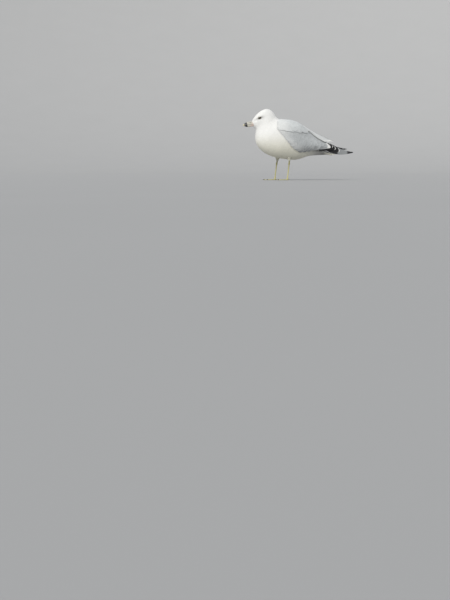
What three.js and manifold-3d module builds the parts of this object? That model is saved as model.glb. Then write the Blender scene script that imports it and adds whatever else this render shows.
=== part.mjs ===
// A ring-billed gull, life size, standing on both feet with its wings folded.
// Millimetres, +Z up. The bill points along -X, the bird's left side is at -Y, and the soles stand at Z = 0.
import * as THREE from "three";
import { mergeVertices } from "three/addons/utils/BufferGeometryUtils.js";
import Module from "manifold-3d";

const wasm = await Module();
wasm.setup();

// ---- driving dimensions -------------------------------------------------------------------------

const BILL_TIP_X = -230;
const WING_TIP_X = 229;
const GAP = 0.35; // clearance between neighbouring pieces
const ROOM = 0.9; // how far a bent plate is grown before it is cut from its neighbour
const SLIVER = 0.01; // shortest edge that a cut may leave
const SIDES = { left: -1, right: 1 };

const COLOURS = {
  plumage: 0xf4f3ee,
  mantle: 0xaeb3b6,
  flight: 0x9fa5a8,
  primary: 0x1c1c1e,
  bill: 0xd9c48f,
  eye: 0x2a2418,
  leg: 0xc2b86c,
  claw: 0x1d1b18,
};

// The feathered body as ribs, from the bill's root to the root of the tail. A rib is a slice across the body
// that runs from a point on the back line to a point on the belly line.
// [back x, back z, belly x, belly z, half width, how far up the rib it is widest, roundness above, below]
const RIBS = [
  [-194, 235, -189, 217, 6.5, 0.5, 2.0, 2.0], // bill root
  [-187, 247.5, -182, 211.5, 12.5, 0.46, 2.0, 2.0], // lores
  [-172.5, 265.5, -177.5, 207, 18.5, 0.48, 2.0, 2.1], // forehead
  [-155, 278.5, -176.5, 203, 22.8, 0.52, 2.0, 2.2], // front of the crown
  [-136, 286, -176.5, 198.5, 25.5, 0.52, 2.0, 2.2], // crown
  [-118, 282.5, -177, 192.5, 28.0, 0.5, 2.0, 2.2], // hind crown
  [-105, 272, -178.5, 183, 32.0, 0.48, 2.0, 2.2], // nape
  [-95, 257, -178.5, 167, 38.5, 0.46, 2.0, 2.2], // neck
  [-84, 248, -174, 148, 46.5, 0.46, 2.1, 2.2], // shoulder
  [-68, 245, -160.5, 127.5, 54.5, 0.48, 2.2, 2.2], // breast
  [-46, 243, -135, 107.5, 60.5, 0.5, 2.2, 2.2],
  [-24, 240, -98, 93, 64.0, 0.5, 2.2, 2.2], // deepest
  [-2, 230, -56, 85.5, 61.0, 0.5, 2.2, 2.2],
  [20, 205, -14, 82.5, 53.0, 0.5, 2.1, 2.1], // thighs
  [38, 178, 14, 88, 42.0, 0.48, 2.0, 2.0], // vent, where the flesh ends
  [60, 151, 42, 97.5, 30.0, 0.45, 2.0, 2.0],
  [86, 131, 74, 101, 22.0, 0.42, 2.0, 2.0], // under-tail coverts
  [108, 120.5, 101, 102.5, 18.0, 0.42, 2.0, 2.0],
  [124, 115.5, 119, 104, 13.0, 0.42, 2.0, 2.0],
];
const HEAD_RIBS = [0, 5.7];
const NECK_RIBS = [5.74, 8.4];
const TRUNK_RIBS = [8.43, 13.2];
const RUMP_RIBS = [13.23, RIBS.length - 1]; // behind the flesh: only the feathers over and under the tail

// The outside of the folded wings, by slices across the body.
// [x, ridge z, z of the widest point, half width, roundness, z of the wing's lower edge]
const WING = [
  [-100, 243, 166, 61.5, 2.2, 204],
  [-82, 245.5, 166, 65.0, 2.2, 182],
  [-57, 245, 163, 67.0, 2.2, 151],
  [-31, 242.5, 158, 66.0, 2.15, 125],
  [-7, 234.5, 152, 61.5, 2.1, 110.5],
  [18, 218, 146, 54.0, 2.0, 111],
  [46, 199, 140, 45.0, 1.85, 115],
  [74, 182, 135, 37.0, 1.7, 119],
  [104, 167, 131, 30.0, 1.6, 122],
  [134, 151, 128, 24.0, 1.6, 125.5],
];
const WING_BELLY_Z = 84;
const WING_BELLY_ROUNDNESS = 2.1;
const WING_THICKNESS = { front: 7, rear: 2.4, edge: 1.2, thinBy: 0.62 };
const WING_APART = 0.8; // how far each wing keeps from the middle plane
const MANTLE = { half: 13, from: 2, to: 6 }; // the back feathers between the wings narrow between two slices
const PAST_EDGE = { angle: 0.02, slices: 0.005 }; // how far a plate grown by 1 mm passes its own edges

// The tertials lie over the wing between two of its slices, as a leaf that stands a little proud.
const TERTIAL = {
  from: 4.15,
  to: 9.25,
  lowEdge: [[0.16], [0.38], [0.55], [0.66], [0.74], [0.57]], // radians round from the ridge
  proud: 4.5,
  rise: 1 / 3, // the share of its length in which it rises to that
  thickness: 2.6,
  lift: { left: 3, right: 8 }, // how far each tip stands above the ridge
};

// The folded primaries of each side: [x, upper edge y, z, lower edge y, z], y towards the bird's own side.
const PRIMARIES = {
  left: [
    [112, 11, 147, 20, 119],
    [136, 10, 142.5, 18.5, 113.5],
    [172, 9, 124, 16.5, 106.8],
    [206, 8, 117, 14, 106.6],
    [WING_TIP_X, 10, 111.5, 11, 109],
  ],
  right: [
    [112, 10, 147, 17.5, 127],
    [136, 9, 144, 15.5, 123],
    [172, 7.5, 134.5, 13, 121.5],
    [193, 6, 130.5, 10, 123.5],
    [208, 6, 128, 7, 126],
  ],
};
const PRIMARY = { thickness: 2.6, tipThickness: 1.04, bow: 1.4 };

const TAIL = {
  from: 82,
  to: 152,
  top: [116.5, 109.5],
  half: [17, 27],
  thickness: [7, 2.2],
  arch: 3.2,
  roundEnd: 4, // how much shorter the outer feathers are
};

// The bill: [x, z above, z below, half width] from the corner of the mouth to the tip.
const UPPER_BILL = [
  [-177, 227.5, 223.9, 12.4],
  [-185, 232.6, 224.5, 10.2],
  [-193, 236.0, 225.0, 7.4],
  [-203, 235.2, 224.8, 5.9],
  [-213, 233.2, 224.0, 5.0],
  [-221, 229.6, 222.0, 3.9],
  [-227, 224.6, 219.2, 2.4],
  [BILL_TIP_X, 219.6, 217.6, 0.8],
];
const LOWER_BILL = [
  [-177.5, 223.3, 219.6, 12.2],
  [-185, 223.9, 217.6, 9.8],
  [-193, 224.4, 216.0, 7.0],
  [-203, 224.3, 214.8, 5.3],
  [-213, 223.4, 213.8, 4.4],
  [-220, 221.5, 215.4, 3.2],
  [-226.5, 218.7, 217.3, 1.1],
];

const EYE = { x: -164.5, y: 16.7, z: 248.5, radius: 6 };

// Each leg: where the shin leaves the belly, the ankle, and the foot's middle, with y towards its side.
const LEGS = {
  left: { hip: [-41, 25, 92], ankle: [-42.5, 26, 66], heel: [-49, 27, 7.5], turn: 4 },
  right: { hip: [-80, 25, 92], ankle: [-84.5, 26, 66], heel: [-91, 27, 7.5], turn: -2 },
};
const THIGH = { end: 77, radii: [10, 4.6] };
const SHIN = { knee: 2.9, ankle: 3.7, cannon: 2.35, heel: 3.1, flat: 0.8 };
const HEEL_TOP = 7.1;

// The front toes: [length without the claw, degrees towards the outside].
const TOES = { inner: [35, -24], middle: [45, -1], outer: [42, 21] };
const TOE = { root: 2.7, tip: 1.7, flat: 0.55 };
const WEB = { low: 0.3, high: 1.35, dip: 0.8 };
const HIND_TOE = { length: 8, radius: 1.6, rootZ: 4.2, tipZ: 0.6, inward: 2 }; // its tip rests on the ground
const CLAW = { length: 7, radius: 1.25, drop: 0.9 };

// ---- shaping ------------------------------------------------------------------------------------

// A smooth row of numbers at place t along a table of rows (Catmull-Rom through every row).
function along(rows, t) {
  const i = THREE.MathUtils.clamp(Math.floor(t), 0, rows.length - 2);
  const f = t - i;
  const row = (n) => {
    if (n < 0) return rows[0].map((v, k) => 2 * v - rows[1][k]);
    if (n < rows.length) return rows[n];
    return rows[n - 1].map((v, k) => 2 * v - rows[n - 2][k]);
  };
  const [a, b, c, d] = [row(i - 1), row(i), row(i + 1), row(i + 2)];
  return b.map(
    (v, k) =>
      v +
      0.5 * f * (c[k] - a[k] + f * (2 * a[k] - 5 * v + 4 * c[k] - d[k] + f * (3 * (v - c[k]) + d[k] - a[k]))),
  );
}

const mix = THREE.MathUtils.lerp;
const wave = (base, power) => Math.sign(base) * Math.abs(base) ** power;

function volumeOf(geometry) {
  const p = geometry.attributes.position;
  const index = geometry.index.array;
  const [a, b, c] = [new THREE.Vector3(), new THREE.Vector3(), new THREE.Vector3()];
  let sum = 0;
  for (let i = 0; i < index.length; i += 3) {
    a.fromBufferAttribute(p, index[i]);
    b.fromBufferAttribute(p, index[i + 1]);
    c.fromBufferAttribute(p, index[i + 2]);
    sum += a.dot(b.cross(c)) / 6;
  }
  return sum;
}

// Joins shared corners and turns the faces outwards.
function closed(geometry) {
  geometry.deleteAttribute("normal");
  geometry.deleteAttribute("uv");
  const merged = mergeVertices(geometry, 1e-4);
  if (volumeOf(merged) < 0) merged.index.array.reverse();
  return merged;
}

// A closed skin over rings of points: place(s, u) is the point at share s along and share u round.
// It is a sphere whose rows are moved onto the rings and whose poles close the two ends.
function skinOver(rings, round, place) {
  const sphere = new THREE.SphereGeometry(1, round, rings + 1);
  const p = sphere.attributes.position;
  const middle = new THREE.Vector3();
  const ring = (j) => {
    const s = (j - 1) / (rings - 1);
    return Array.from({ length: round }, (_, i) => place(s, i / round));
  };
  for (let j = 0; j <= rings + 1; j++) {
    const points = ring(THREE.MathUtils.clamp(j, 1, rings));
    middle.set(0, 0, 0);
    points.forEach((q) => middle.add(q));
    middle.divideScalar(round);
    const pole = j === 0 || j === rings + 1;
    for (let i = 0; i <= round; i++) {
      const q = pole ? middle : points[i % round];
      p.setXYZ(j * (round + 1) + i, q.x, q.y, q.z);
    }
  }
  return closed(sphere);
}

// A closed plate: outside(s, v) and inside(s, v) are its two faces, s along it and v across it.
function plate(rings, across, outside, inside) {
  return skinOver(rings, 2 * (across + 1), (s, u) => {
    const k = Math.round(u * 2 * (across + 1));
    return k <= across ? outside(s, k / across) : inside(s, (2 * across + 1 - k) / across);
  });
}

function solid(geometry) {
  return new wasm.Manifold(
    new wasm.Mesh({
      numProp: 3,
      vertProperties: geometry.attributes.position.array,
      triVerts: new Uint32Array(geometry.index.array),
    }),
  );
}

function largest(cut) {
  const parts = cut.decompose();
  return parts.reduce((best, part) => (part.volume() > best.volume() ? part : best));
}

// The surface of a cut solid, without the slivers that a cut leaves along its edges.
function surface(cut) {
  const { vertProperties, triVerts } = cut.getMesh();
  const geometry = new THREE.BufferGeometry()
    .setAttribute("position", new THREE.BufferAttribute(vertProperties, 3))
    .setIndex(new THREE.BufferAttribute(triVerts, 1));
  const merged = mergeVertices(geometry, SLIVER);
  const index = Array.from(merged.index.array);
  const kept = [];
  for (let i = 0; i < index.length; i += 3) {
    const [a, b, c] = index.slice(i, i + 3);
    if (a !== b && b !== c && c !== a) kept.push(a, b, c);
  }
  return merged.setIndex(kept);
}

function material(colour, roughness = 0.8) {
  return new THREE.MeshStandardMaterial({ color: colour, roughness, metalness: 0 });
}

function named(name, geometry, paint) {
  geometry.computeVertexNormals();
  const mesh = new THREE.Mesh(geometry, paint);
  mesh.name = name;
  return mesh;
}

// ---- body ---------------------------------------------------------------------------------------

// A point on the body: t along RIBS, angle from the back (0) round to the belly (pi).
function bodyPoint(t, angle, grow = 0) {
  const [bx, bz, vx, vz, half, high, above, below] = along(RIBS, t);
  const [c, s] = [Math.cos(angle), Math.sin(angle)];
  const power = 2 / (c > 0 ? above : below);
  const length = Math.hypot(bx - vx, bz - vz);
  const reach = (c > 0 ? 1 - high : -high) * (1 + (2 * grow) / length) * Math.abs(c) ** power;
  return new THREE.Vector3(
    mix(vx, bx, high + reach),
    (half + grow) * wave(s, power),
    mix(vz, bz, high + reach),
  );
}

function bodyPiece([from, to], rings, round, grow = 0) {
  return solid(skinOver(rings, round, (s, u) => bodyPoint(mix(from, to, s), 2 * Math.PI * u, grow)));
}

// ---- wings --------------------------------------------------------------------------------------

// A point outside the folded wing: angle from the ridge (0) round to the belly (pi).
function wingPoint(side, t, angle, grow = 0) {
  const [x, ridge, wide, half, round] = along(WING, t);
  const [c, s] = [Math.cos(angle), Math.sin(angle)];
  const [power, depth] = c > 0 ? [2 / round, ridge - wide] : [2 / WING_BELLY_ROUNDNESS, wide - WING_BELLY_Z];
  return new THREE.Vector3(x, side * (half + grow) * wave(s, power), wide + (depth + grow) * wave(c, power));
}

// The angle at which the wing's section comes down to height z.
function angleAtHeight(t, z) {
  const [, ridge, wide, , round] = along(WING, t);
  if (z > wide) return Math.acos(((z - wide) / (ridge - wide)) ** (round / 2));
  return Math.acos(-(((wide - z) / (wide - WING_BELLY_Z)) ** (WING_BELLY_ROUNDNESS / 2)));
}

// The angle at which it comes in to a distance y from the middle.
function angleAtWidth(t, y) {
  const [, , , half, round] = along(WING, t);
  return Math.asin((y / half) ** (round / 2));
}

const lastSlice = WING.length - 1;

// The wing from the shoulder to the tips of the secondaries, between the back feathers and its lower edge.
function wingShell(side, extra = 0) {
  const beyond = extra * PAST_EDGE.slices;
  const face = (depth) => (s, v) => {
    const t = mix(-beyond, lastSlice + beyond, s);
    const inner = MANTLE.half * (1 - THREE.MathUtils.smoothstep(t, MANTLE.from, MANTLE.to)) + WING_APART;
    const first = angleAtWidth(t, inner) - extra * PAST_EDGE.angle;
    const last = angleAtHeight(t, along(WING, t)[5]) + extra * PAST_EDGE.angle;
    return wingPoint(side, t, mix(first, last, v), depth(s, v));
  };
  const inward = (s, v) => {
    const { front, rear, edge, thinBy } = WING_THICKNESS;
    const swell = Math.sin(Math.PI * mix(0.12, 0.97, v)); // thin along both edges
    return -mix(edge, mix(front, rear, Math.min(1, s / thinBy)), swell) - extra;
  };
  return solid(plate(17, 7, face(() => extra), face(inward)));
}

function tertials(name, extra = 0) {
  const { from, to, lowEdge, proud, rise, thickness, lift } = TERTIAL;
  const beyond = extra * PAST_EDGE.slices;
  const height = (s) => proud * Math.sin(0.5 * Math.PI * Math.min(1, 0.2 + (0.8 * s) / rise));
  const face = (depth) => (s, v) => {
    const t = mix(from - beyond, to + beyond, s);
    const first = angleAtWidth(t, WING_APART) - extra * PAST_EDGE.angle;
    const [width] = along(lowEdge, s * (lowEdge.length - 1));
    const last = first + width + 2 * extra * PAST_EDGE.angle;
    const point = wingPoint(SIDES[name], t, mix(first, last, v), height(s) + depth);
    point.z += lift[name] * s * s;
    return point;
  };
  return solid(plate(11, 4, face(extra), face(-thickness - extra)));
}

function primaries(name) {
  const rows = PRIMARIES[name];
  const face = (sign) => (s, v) => {
    const [x, y0, z0, y1, z1] = along(rows, s * (rows.length - 1));
    const swell = Math.sin(Math.PI * v);
    const half = 0.25 * mix(PRIMARY.thickness, PRIMARY.tipThickness, s) * (1 + swell);
    const y = mix(y0, y1, v) + PRIMARY.bow * (1 - s) * swell + sign * half;
    return new THREE.Vector3(x, SIDES[name] * y, mix(z0, z1, v) + 0.4 * sign * half);
  };
  return solid(plate(11, 5, face(1), face(-1)));
}

// ---- tail ---------------------------------------------------------------------------------------

function tail(extra = 0) {
  const face = (under) => (s, v) => {
    const side = 2 * v - 1;
    const half = mix(TAIL.half[0], TAIL.half[1], s) + extra;
    const thick = mix(TAIL.thickness[0], TAIL.thickness[1], s) * (1 - 0.7 * Math.abs(side) ** 3);
    const top = mix(TAIL.top[0], TAIL.top[1], s) - TAIL.arch * side ** 2;
    const x = mix(TAIL.from - extra, TAIL.to + extra, s) - TAIL.roundEnd * s ** 6 * side ** 2;
    return new THREE.Vector3(x, side * half, under ? top - thick - extra : top + extra);
  };
  return solid(plate(9, 10, face(false), face(true)));
}

// ---- bill and eyes ------------------------------------------------------------------------------

function mandible(rows, upper, extra = 0) {
  return solid(
    skinOver(12, 12, (s, u) => {
      const [x, top, low, half] = along(rows, s * (rows.length - 1));
      const [edge, ridge] = upper ? [low, top] : [top, low]; // the two halves meet along their edges
      const angle = 2 * Math.PI * u;
      const [c, k] = [Math.cos(angle), Math.sin(angle)];
      const out = Math.sign(ridge - edge);
      const depth = c > 0 ? (ridge - edge + out * extra) * c ** 0.9 : out * extra * c;
      return new THREE.Vector3(x, (half + extra) * wave(k, 0.85), edge + depth);
    }),
  );
}

function eyeball(side, extra = 0) {
  const ball = closed(new THREE.SphereGeometry(EYE.radius + extra, 16, 10));
  return solid(ball.translate(EYE.x, side * EYE.y, EYE.z));
}

// ---- legs and feet ------------------------------------------------------------------------------

const sided = ([x, y, z], side) => new THREE.Vector3(x, side * y, z);

function thigh(name, trunk) {
  const { hip, ankle } = LEGS[name];
  const [top, foot] = [sided(hip, SIDES[name]), sided(ankle, SIDES[name])];
  const cone = skinOver(5, 18, (s, u) => {
    const z = mix(top.z, THIGH.end, s);
    const share = (top.z - z) / (top.z - foot.z);
    const radius = mix(THIGH.radii[0], THIGH.radii[1], s);
    const angle = 2 * Math.PI * u;
    return new THREE.Vector3(
      mix(top.x, foot.x, share) + 1.25 * radius * Math.cos(angle),
      mix(top.y, foot.y, share) + radius * Math.sin(angle),
      z,
    );
  });
  return largest(solid(cone).subtract(trunk));
}

// The bare part of the shin and the long bone above the foot, with a knob at the ankle between them.
function leg(name) {
  const { hip, ankle, heel } = LEGS[name];
  const [top, joint, end] = [hip, ankle, heel].map((p) => sided(p, SIDES[name]));
  const start = THIGH.end - GAP;
  return skinOver(12, 8, (s, u) => {
    const z = mix(start, end.z, s);
    const shin = z > joint.z;
    const share = shin ? (top.z - z) / (top.z - joint.z) : (joint.z - z) / (joint.z - end.z);
    const [from, to] = shin ? [top, joint] : [joint, end];
    const knob = (SHIN.ankle - SHIN.cannon) * Math.exp(-(((z - joint.z) / 4.5) ** 2));
    const base = shin ? mix(SHIN.cannon, SHIN.knee, (z - joint.z) / 12) : SHIN.cannon;
    const radius = base + knob + (SHIN.heel - SHIN.cannon) * Math.exp(-(((z - end.z) / 6) ** 2));
    const angle = 2 * Math.PI * u;
    return new THREE.Vector3(
      mix(from.x, to.x, share) + radius * Math.cos(angle),
      mix(from.y, to.y, share) + SHIN.flat * radius * Math.sin(angle),
      z,
    );
  });
}

// Where each toe of a foot ends, and the way it points.
function toeEnds(name) {
  const side = SIDES[name];
  const { heel, turn } = LEGS[name];
  const root = new THREE.Vector3(heel[0] - 1, side * heel[1], 0);
  return Object.fromEntries(
    Object.entries(TOES).map(([toe, [length, degrees]]) => {
      const angle = THREE.MathUtils.degToRad(degrees + turn);
      const way = new THREE.Vector3(-Math.cos(angle), side * Math.sin(angle), 0);
      return [toe, { root, way, length, end: root.clone().addScaledVector(way, length) }];
    }),
  );
}

// A toe: a tapering tube with three soft joints and a flat sole on the ground.
function toeSolid({ root, way, length }) {
  const across = new THREE.Vector3(-way.y, way.x, 0);
  return solid(
    skinOver(7, 8, (s, u) => {
      const joints = 1 + 0.12 * Math.cos(2 * Math.PI * 3 * s);
      const radius = mix(TOE.root, TOE.tip, s) * joints;
      const angle = 2 * Math.PI * u;
      const up = radius * 0.85 * (Math.cos(angle) + TOE.flat);
      return root
        .clone()
        .addScaledVector(way, s * length)
        .addScaledVector(across, radius * Math.sin(angle))
        .setZ(Math.max(0, up));
    }),
  );
}

// The web between the toes, with a scalloped front edge.
function webSolid(toes) {
  const outline = new THREE.Shape();
  const { inner, middle, outer } = toes;
  const stop = (toe) => toe.root.clone().addScaledVector(toe.way, toe.length * 0.93);
  const [a, b, c] = [stop(inner), stop(middle), stop(outer)];
  const dip = (p, q) => p.clone().lerp(q, 0.5).sub(inner.root).multiplyScalar(WEB.dip).add(inner.root);
  const [ab, bc] = [dip(a, b), dip(b, c)];
  outline.moveTo(inner.root.x, inner.root.y);
  outline.lineTo(a.x, a.y);
  outline.quadraticCurveTo(ab.x, ab.y, b.x, b.y);
  outline.quadraticCurveTo(bc.x, bc.y, c.x, c.y);
  outline.closePath();
  const sheet = new THREE.ExtrudeGeometry(outline, {
    depth: WEB.high - WEB.low,
    bevelEnabled: false,
    curveSegments: 4,
  });
  return solid(closed(sheet.translate(0, 0, WEB.low)));
}

function heelPad(name) {
  const side = SIDES[name];
  const [x, y] = LEGS[name].heel;
  return solid(
    skinOver(5, 10, (s, u) => {
      const z = HEEL_TOP * s;
      const radius = mix(3.3, SHIN.heel, s) + 0.9 * Math.sin(Math.PI * s);
      const angle = 2 * Math.PI * u;
      return new THREE.Vector3(x + radius * Math.cos(angle), side * y + 0.85 * radius * Math.sin(angle), z);
    }),
  );
}

// The short hind toe slopes down from the heel, with a small flat under its tip.
function hindToe(name) {
  const side = SIDES[name];
  const [x, y] = LEGS[name].heel;
  return solid(
    skinOver(5, 8, (s, u) => {
      const radius = HIND_TOE.radius * (1 - 0.45 * s * s);
      const angle = 2 * Math.PI * u;
      return new THREE.Vector3(
        x + 1 + HIND_TOE.length * s,
        side * (y - HIND_TOE.inward) + radius * Math.sin(angle),
        Math.max(0, mix(HIND_TOE.rootZ, HIND_TOE.tipZ, s) + radius * Math.cos(angle)),
      );
    }),
  );
}

// A claw: a hooked cone that starts at a toe's end and points on along it, its tip just clear of the ground.
function claw(from, way, size, drop) {
  const across = new THREE.Vector3(-way.y, way.x, 0);
  return skinOver(4, 6, (s, u) => {
    const radius = CLAW.radius * size * (1 - 0.85 * s);
    const angle = 2 * Math.PI * u;
    return from
      .clone()
      .addScaledVector(way, CLAW.length * size * s)
      .addScaledVector(across, 0.8 * radius * Math.sin(angle))
      .add(new THREE.Vector3(0, 0, radius * Math.cos(angle) - drop * s * s));
  });
}

function foot(name) {
  const toes = toeEnds(name);
  const parts = [...Object.values(toes).map(toeSolid), webSolid(toes), heelPad(name), hindToe(name)];
  return largest(parts.reduce((whole, part) => whole.add(part)));
}

function claws(name) {
  const side = SIDES[name];
  const toes = toeEnds(name);
  const front = Object.entries(toes).map(([toe, { end, way }]) => {
    const start = end.clone().addScaledVector(way, GAP).setZ(1.9);
    return named(`claw_${name}_${toe}`, claw(start, way, 1, CLAW.drop), material(COLOURS.claw, 0.45));
  });
  const [x, y] = LEGS[name].heel;
  const way = new THREE.Vector3(1, 0, 0);
  const start = new THREE.Vector3(x + 1 + HIND_TOE.length + GAP, side * (y - HIND_TOE.inward), 1);
  const hind = named(`claw_${name}_hind`, claw(start, way, 0.5, 0.4), material(COLOURS.claw, 0.45));
  return [...front, hind];
}

// ---- the bird -----------------------------------------------------------------------------------

const gull = new THREE.Group();
const add = (name, cut, paint) => gull.add(named(name, surface(cut), paint));
const plumage = material(COLOURS.plumage);

let head = bodyPiece(HEAD_RIBS, 13, 22);
for (const side of Object.values(SIDES)) head = head.subtract(eyeball(side, GAP));
head = head.subtract(mandible(UPPER_BILL, true, GAP)).subtract(mandible(LOWER_BILL, false, GAP));

// Head, neck, trunk and rump are cut from one form. The wings lie in the body and not on it.
let neck = bodyPiece(NECK_RIBS, 7, 24);
let trunk = bodyPiece(TRUNK_RIBS, 12, 26);
let rump = bodyPiece(RUMP_RIBS, 10, 22).subtract(tail(GAP));
for (const [name, side] of Object.entries(SIDES)) {
  const room = wingShell(side, ROOM).add(tertials(name, ROOM));
  neck = neck.subtract(room);
  trunk = trunk.subtract(room);
  rump = rump.subtract(room);
}

add("head", largest(head), plumage);
add("neck", largest(neck), plumage);
add("trunk", largest(trunk), plumage);
add("rump", largest(rump), plumage);
add("tail", tail(), plumage);
add("upper_bill", mandible(UPPER_BILL, true), material(COLOURS.bill, 0.45));
add("lower_bill", mandible(LOWER_BILL, false), material(COLOURS.bill, 0.45));

for (const [name, side] of Object.entries(SIDES)) {
  const room = tertials(name, ROOM);
  add(`eye_${name}`, eyeball(side), material(COLOURS.eye, 0.1));
  add(`wing_${name}`, largest(wingShell(side).subtract(room)), material(COLOURS.mantle));
  add(`tertials_${name}`, tertials(name), material(COLOURS.flight));
  add(`primaries_${name}`, primaries(name), material(COLOURS.primary, 0.6));
  add(`thigh_${name}`, thigh(name, bodyPiece(TRUNK_RIBS, 12, 26, GAP)), plumage);
  gull.add(named(`leg_${name}`, leg(name), material(COLOURS.leg, 0.55)));
  add(`foot_${name}`, foot(name), material(COLOURS.leg, 0.55));
  gull.add(...claws(name));
}

export default gull;
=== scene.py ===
# %% [markdown]
# # A ring-billed gull, feather by feather
#
# This file dresses a life-size museum model of a gull. A plain solid of each part of the bird comes from
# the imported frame. Over it go the skin, over fifteen thousand feathers, a horny bill, eyes and claws.
# A bird's outline is its feathers: the skin lies a few millimetres under it, so every feather is laid from
# a root just over the skin to a tip at the outline of the solids.

# %% Load the frame
import math
from functools import partial

import bpy
import mathutils
import numpy as np
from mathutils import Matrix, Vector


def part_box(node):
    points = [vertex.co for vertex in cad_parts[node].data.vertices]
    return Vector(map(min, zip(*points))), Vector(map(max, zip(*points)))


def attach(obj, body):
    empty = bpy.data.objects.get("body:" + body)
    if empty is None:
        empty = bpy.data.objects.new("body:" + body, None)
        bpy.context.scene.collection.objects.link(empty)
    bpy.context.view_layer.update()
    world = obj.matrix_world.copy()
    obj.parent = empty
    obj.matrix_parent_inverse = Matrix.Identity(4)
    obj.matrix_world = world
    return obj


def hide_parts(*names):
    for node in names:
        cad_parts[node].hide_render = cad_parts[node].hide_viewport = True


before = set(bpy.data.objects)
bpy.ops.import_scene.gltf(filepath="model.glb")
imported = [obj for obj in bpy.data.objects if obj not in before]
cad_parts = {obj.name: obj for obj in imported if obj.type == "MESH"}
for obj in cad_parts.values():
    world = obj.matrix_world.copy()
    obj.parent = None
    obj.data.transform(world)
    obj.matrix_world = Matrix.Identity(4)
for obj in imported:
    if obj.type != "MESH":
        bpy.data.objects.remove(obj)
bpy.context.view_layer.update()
MM = 0.001  # the tables below are in millimetres, as the solids are
SIDES = {"left": -1, "right": 1}  # the bill points along -X, so the bird's left is at -Y
FLESH = ["head", "neck", "trunk", "rump"]
FLESH += [f"{part}_{side}" for side in SIDES for part in ("thigh", "leg", "foot", "wing")]


def box_mm(name):
    """The lowest and highest corner of a part's box, in millimetres."""
    return [np.array(corner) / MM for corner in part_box(name)]


# %% [markdown]
# ## A few tools
#
# Every surface here is worked out with whole arrays. A table of rows is read at any place between its rows
# with a smooth curve through all of them. A grid of points becomes a mesh of quads, and colours and maps
# ride on its points as attributes, so that one material can paint many feathers.

# %% Tools
def along(rows, t):
    """The row at place t of a table, on a Catmull-Rom curve: each span is a cubic whose slope at a row is
    half the step between the rows on both sides of it."""
    rows = np.asarray(rows, float)
    t = np.asarray(t, float)
    more = np.vstack([2 * rows[0] - rows[1], rows, 2 * rows[-1] - rows[-2]])
    i = np.clip(np.floor(t).astype(int), 0, len(rows) - 2)
    f = (t - i)[..., None]
    a, b, c, d = (more[i + k] for k in range(4))
    return b + 0.5 * f * (c - a + f * (2 * a - 5 * b + 4 * c - d + f * (3 * (b - c) + d - a)))


def wave(base, power):
    """The base's own sign times its size to a power: rounds a circle towards a box (below 1) or a
    diamond."""
    return np.sign(base) * np.abs(base) ** power


def unit(v):
    return v / np.maximum(np.linalg.norm(v, axis=-1, keepdims=True), 1e-9)


def smooth(x, low, high):
    """0 below low, 1 above high, and 3 s squared less 2 s cubed between them."""
    s = np.clip((x - low) / (high - low), 0, 1)
    return s * s * (3 - 2 * s)


def bell(x, width):
    """1 at zero, falling away on both sides: e to the power of minus the square of x over the width."""
    return np.exp(-((x / width) ** 2))


def dots(a, b):
    return (a * b).sum(-1)


def stacked(x, y, z):
    """Points from three arrays of coordinates that fit each other's shape."""
    return np.stack(np.broadcast_arrays(x, y, z), -1)


def turns(count):
    """So many angles evenly round a circle, as one row."""
    return np.linspace(0, 2 * np.pi, count + 1)[None, :-1]


def mesh_piece(name, points, faces, material, tint=None, maps=None):
    """Puts an array of points in millimetres and an array of faces into a new object at the origin."""
    mesh = bpy.data.meshes.new(name)
    sides = faces.shape[1]
    mesh.vertices.add(len(points))
    mesh.vertices.foreach_set("co", (points * MM).ravel())
    mesh.loops.add(faces.size)
    mesh.loops.foreach_set("vertex_index", faces.ravel())
    mesh.polygons.add(len(faces))
    mesh.polygons.foreach_set("loop_start", np.arange(0, faces.size, sides))
    mesh.polygons.foreach_set("use_smooth", np.full(len(faces), True))
    mesh.update(calc_edges=True)
    for key, uv in (maps or {}).items():
        layer = mesh.uv_layers.new(name=key)
        layer.data.foreach_set("uv", uv[faces.ravel()].ravel())
    if tint is not None:
        paint(mesh, tint)
    mesh.materials.append(material)
    piece = bpy.data.objects.new(name, mesh)
    bpy.context.collection.objects.link(piece)
    return piece


def paint(mesh, tint):
    """Keeps a linear colour for each point as the attribute that the materials read."""
    layer = mesh.color_attributes.new("tint", "FLOAT_COLOR", "POINT")
    layer.data.foreach_set("color", np.hstack([tint, np.ones((len(tint), 1))]).ravel())


def grid_faces(rows, columns, closed=False):
    """Quads over a grid of points, row by row, turned so that row step x column step points outwards."""
    r, c = np.meshgrid(np.arange(rows - 1), np.arange(columns if closed else columns - 1), indexing="ij")
    n = (c + 1) % columns
    quads = [r * columns + c, (r + 1) * columns + c, (r + 1) * columns + n, r * columns + n]
    return np.stack(quads, -1).reshape(-1, 4)


def tube_mesh(points):
    """Triangles over a (rings, around, 3) grid whose last column meets its first, with a fan from the
    middle of each end ring to close it."""
    rings, around, _ = points.shape
    body = grid_faces(rings, around, closed=True)
    ends = np.vstack([points[0].mean(0), points[-1].mean(0)])
    k = np.arange(around)
    n = (k + 1) % around
    first, last = rings * around, rings * around + 1
    base = (rings - 1) * around
    fan_a = np.stack([np.full(around, first), k, n], -1)
    fan_b = np.stack([np.full(around, last), base + n, base + k], -1)
    tris = np.vstack([body[:, [0, 1, 2]], body[:, [0, 2, 3]], fan_a, fan_b])
    return np.vstack([points.reshape(-1, 3), ends]), tris


def outwards(points, faces):
    """Turns every face of a closed mesh round if the volume inside it comes out negative."""
    corners = [points[faces[:, k]] for k in range(faces.shape[1])]
    volume = sum(dots(corners[0], np.cross(b, c)).sum() for b, c in zip(corners[1:], corners[2:]))
    return faces if volume > 0 else faces[:, ::-1]


def closed_piece(name, shell, material, tint=None):
    """A closed mesh from its points and faces, with every face turned outwards."""
    points, faces = shell
    return mesh_piece(name, points, outwards(points, faces), material, tint)


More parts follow.
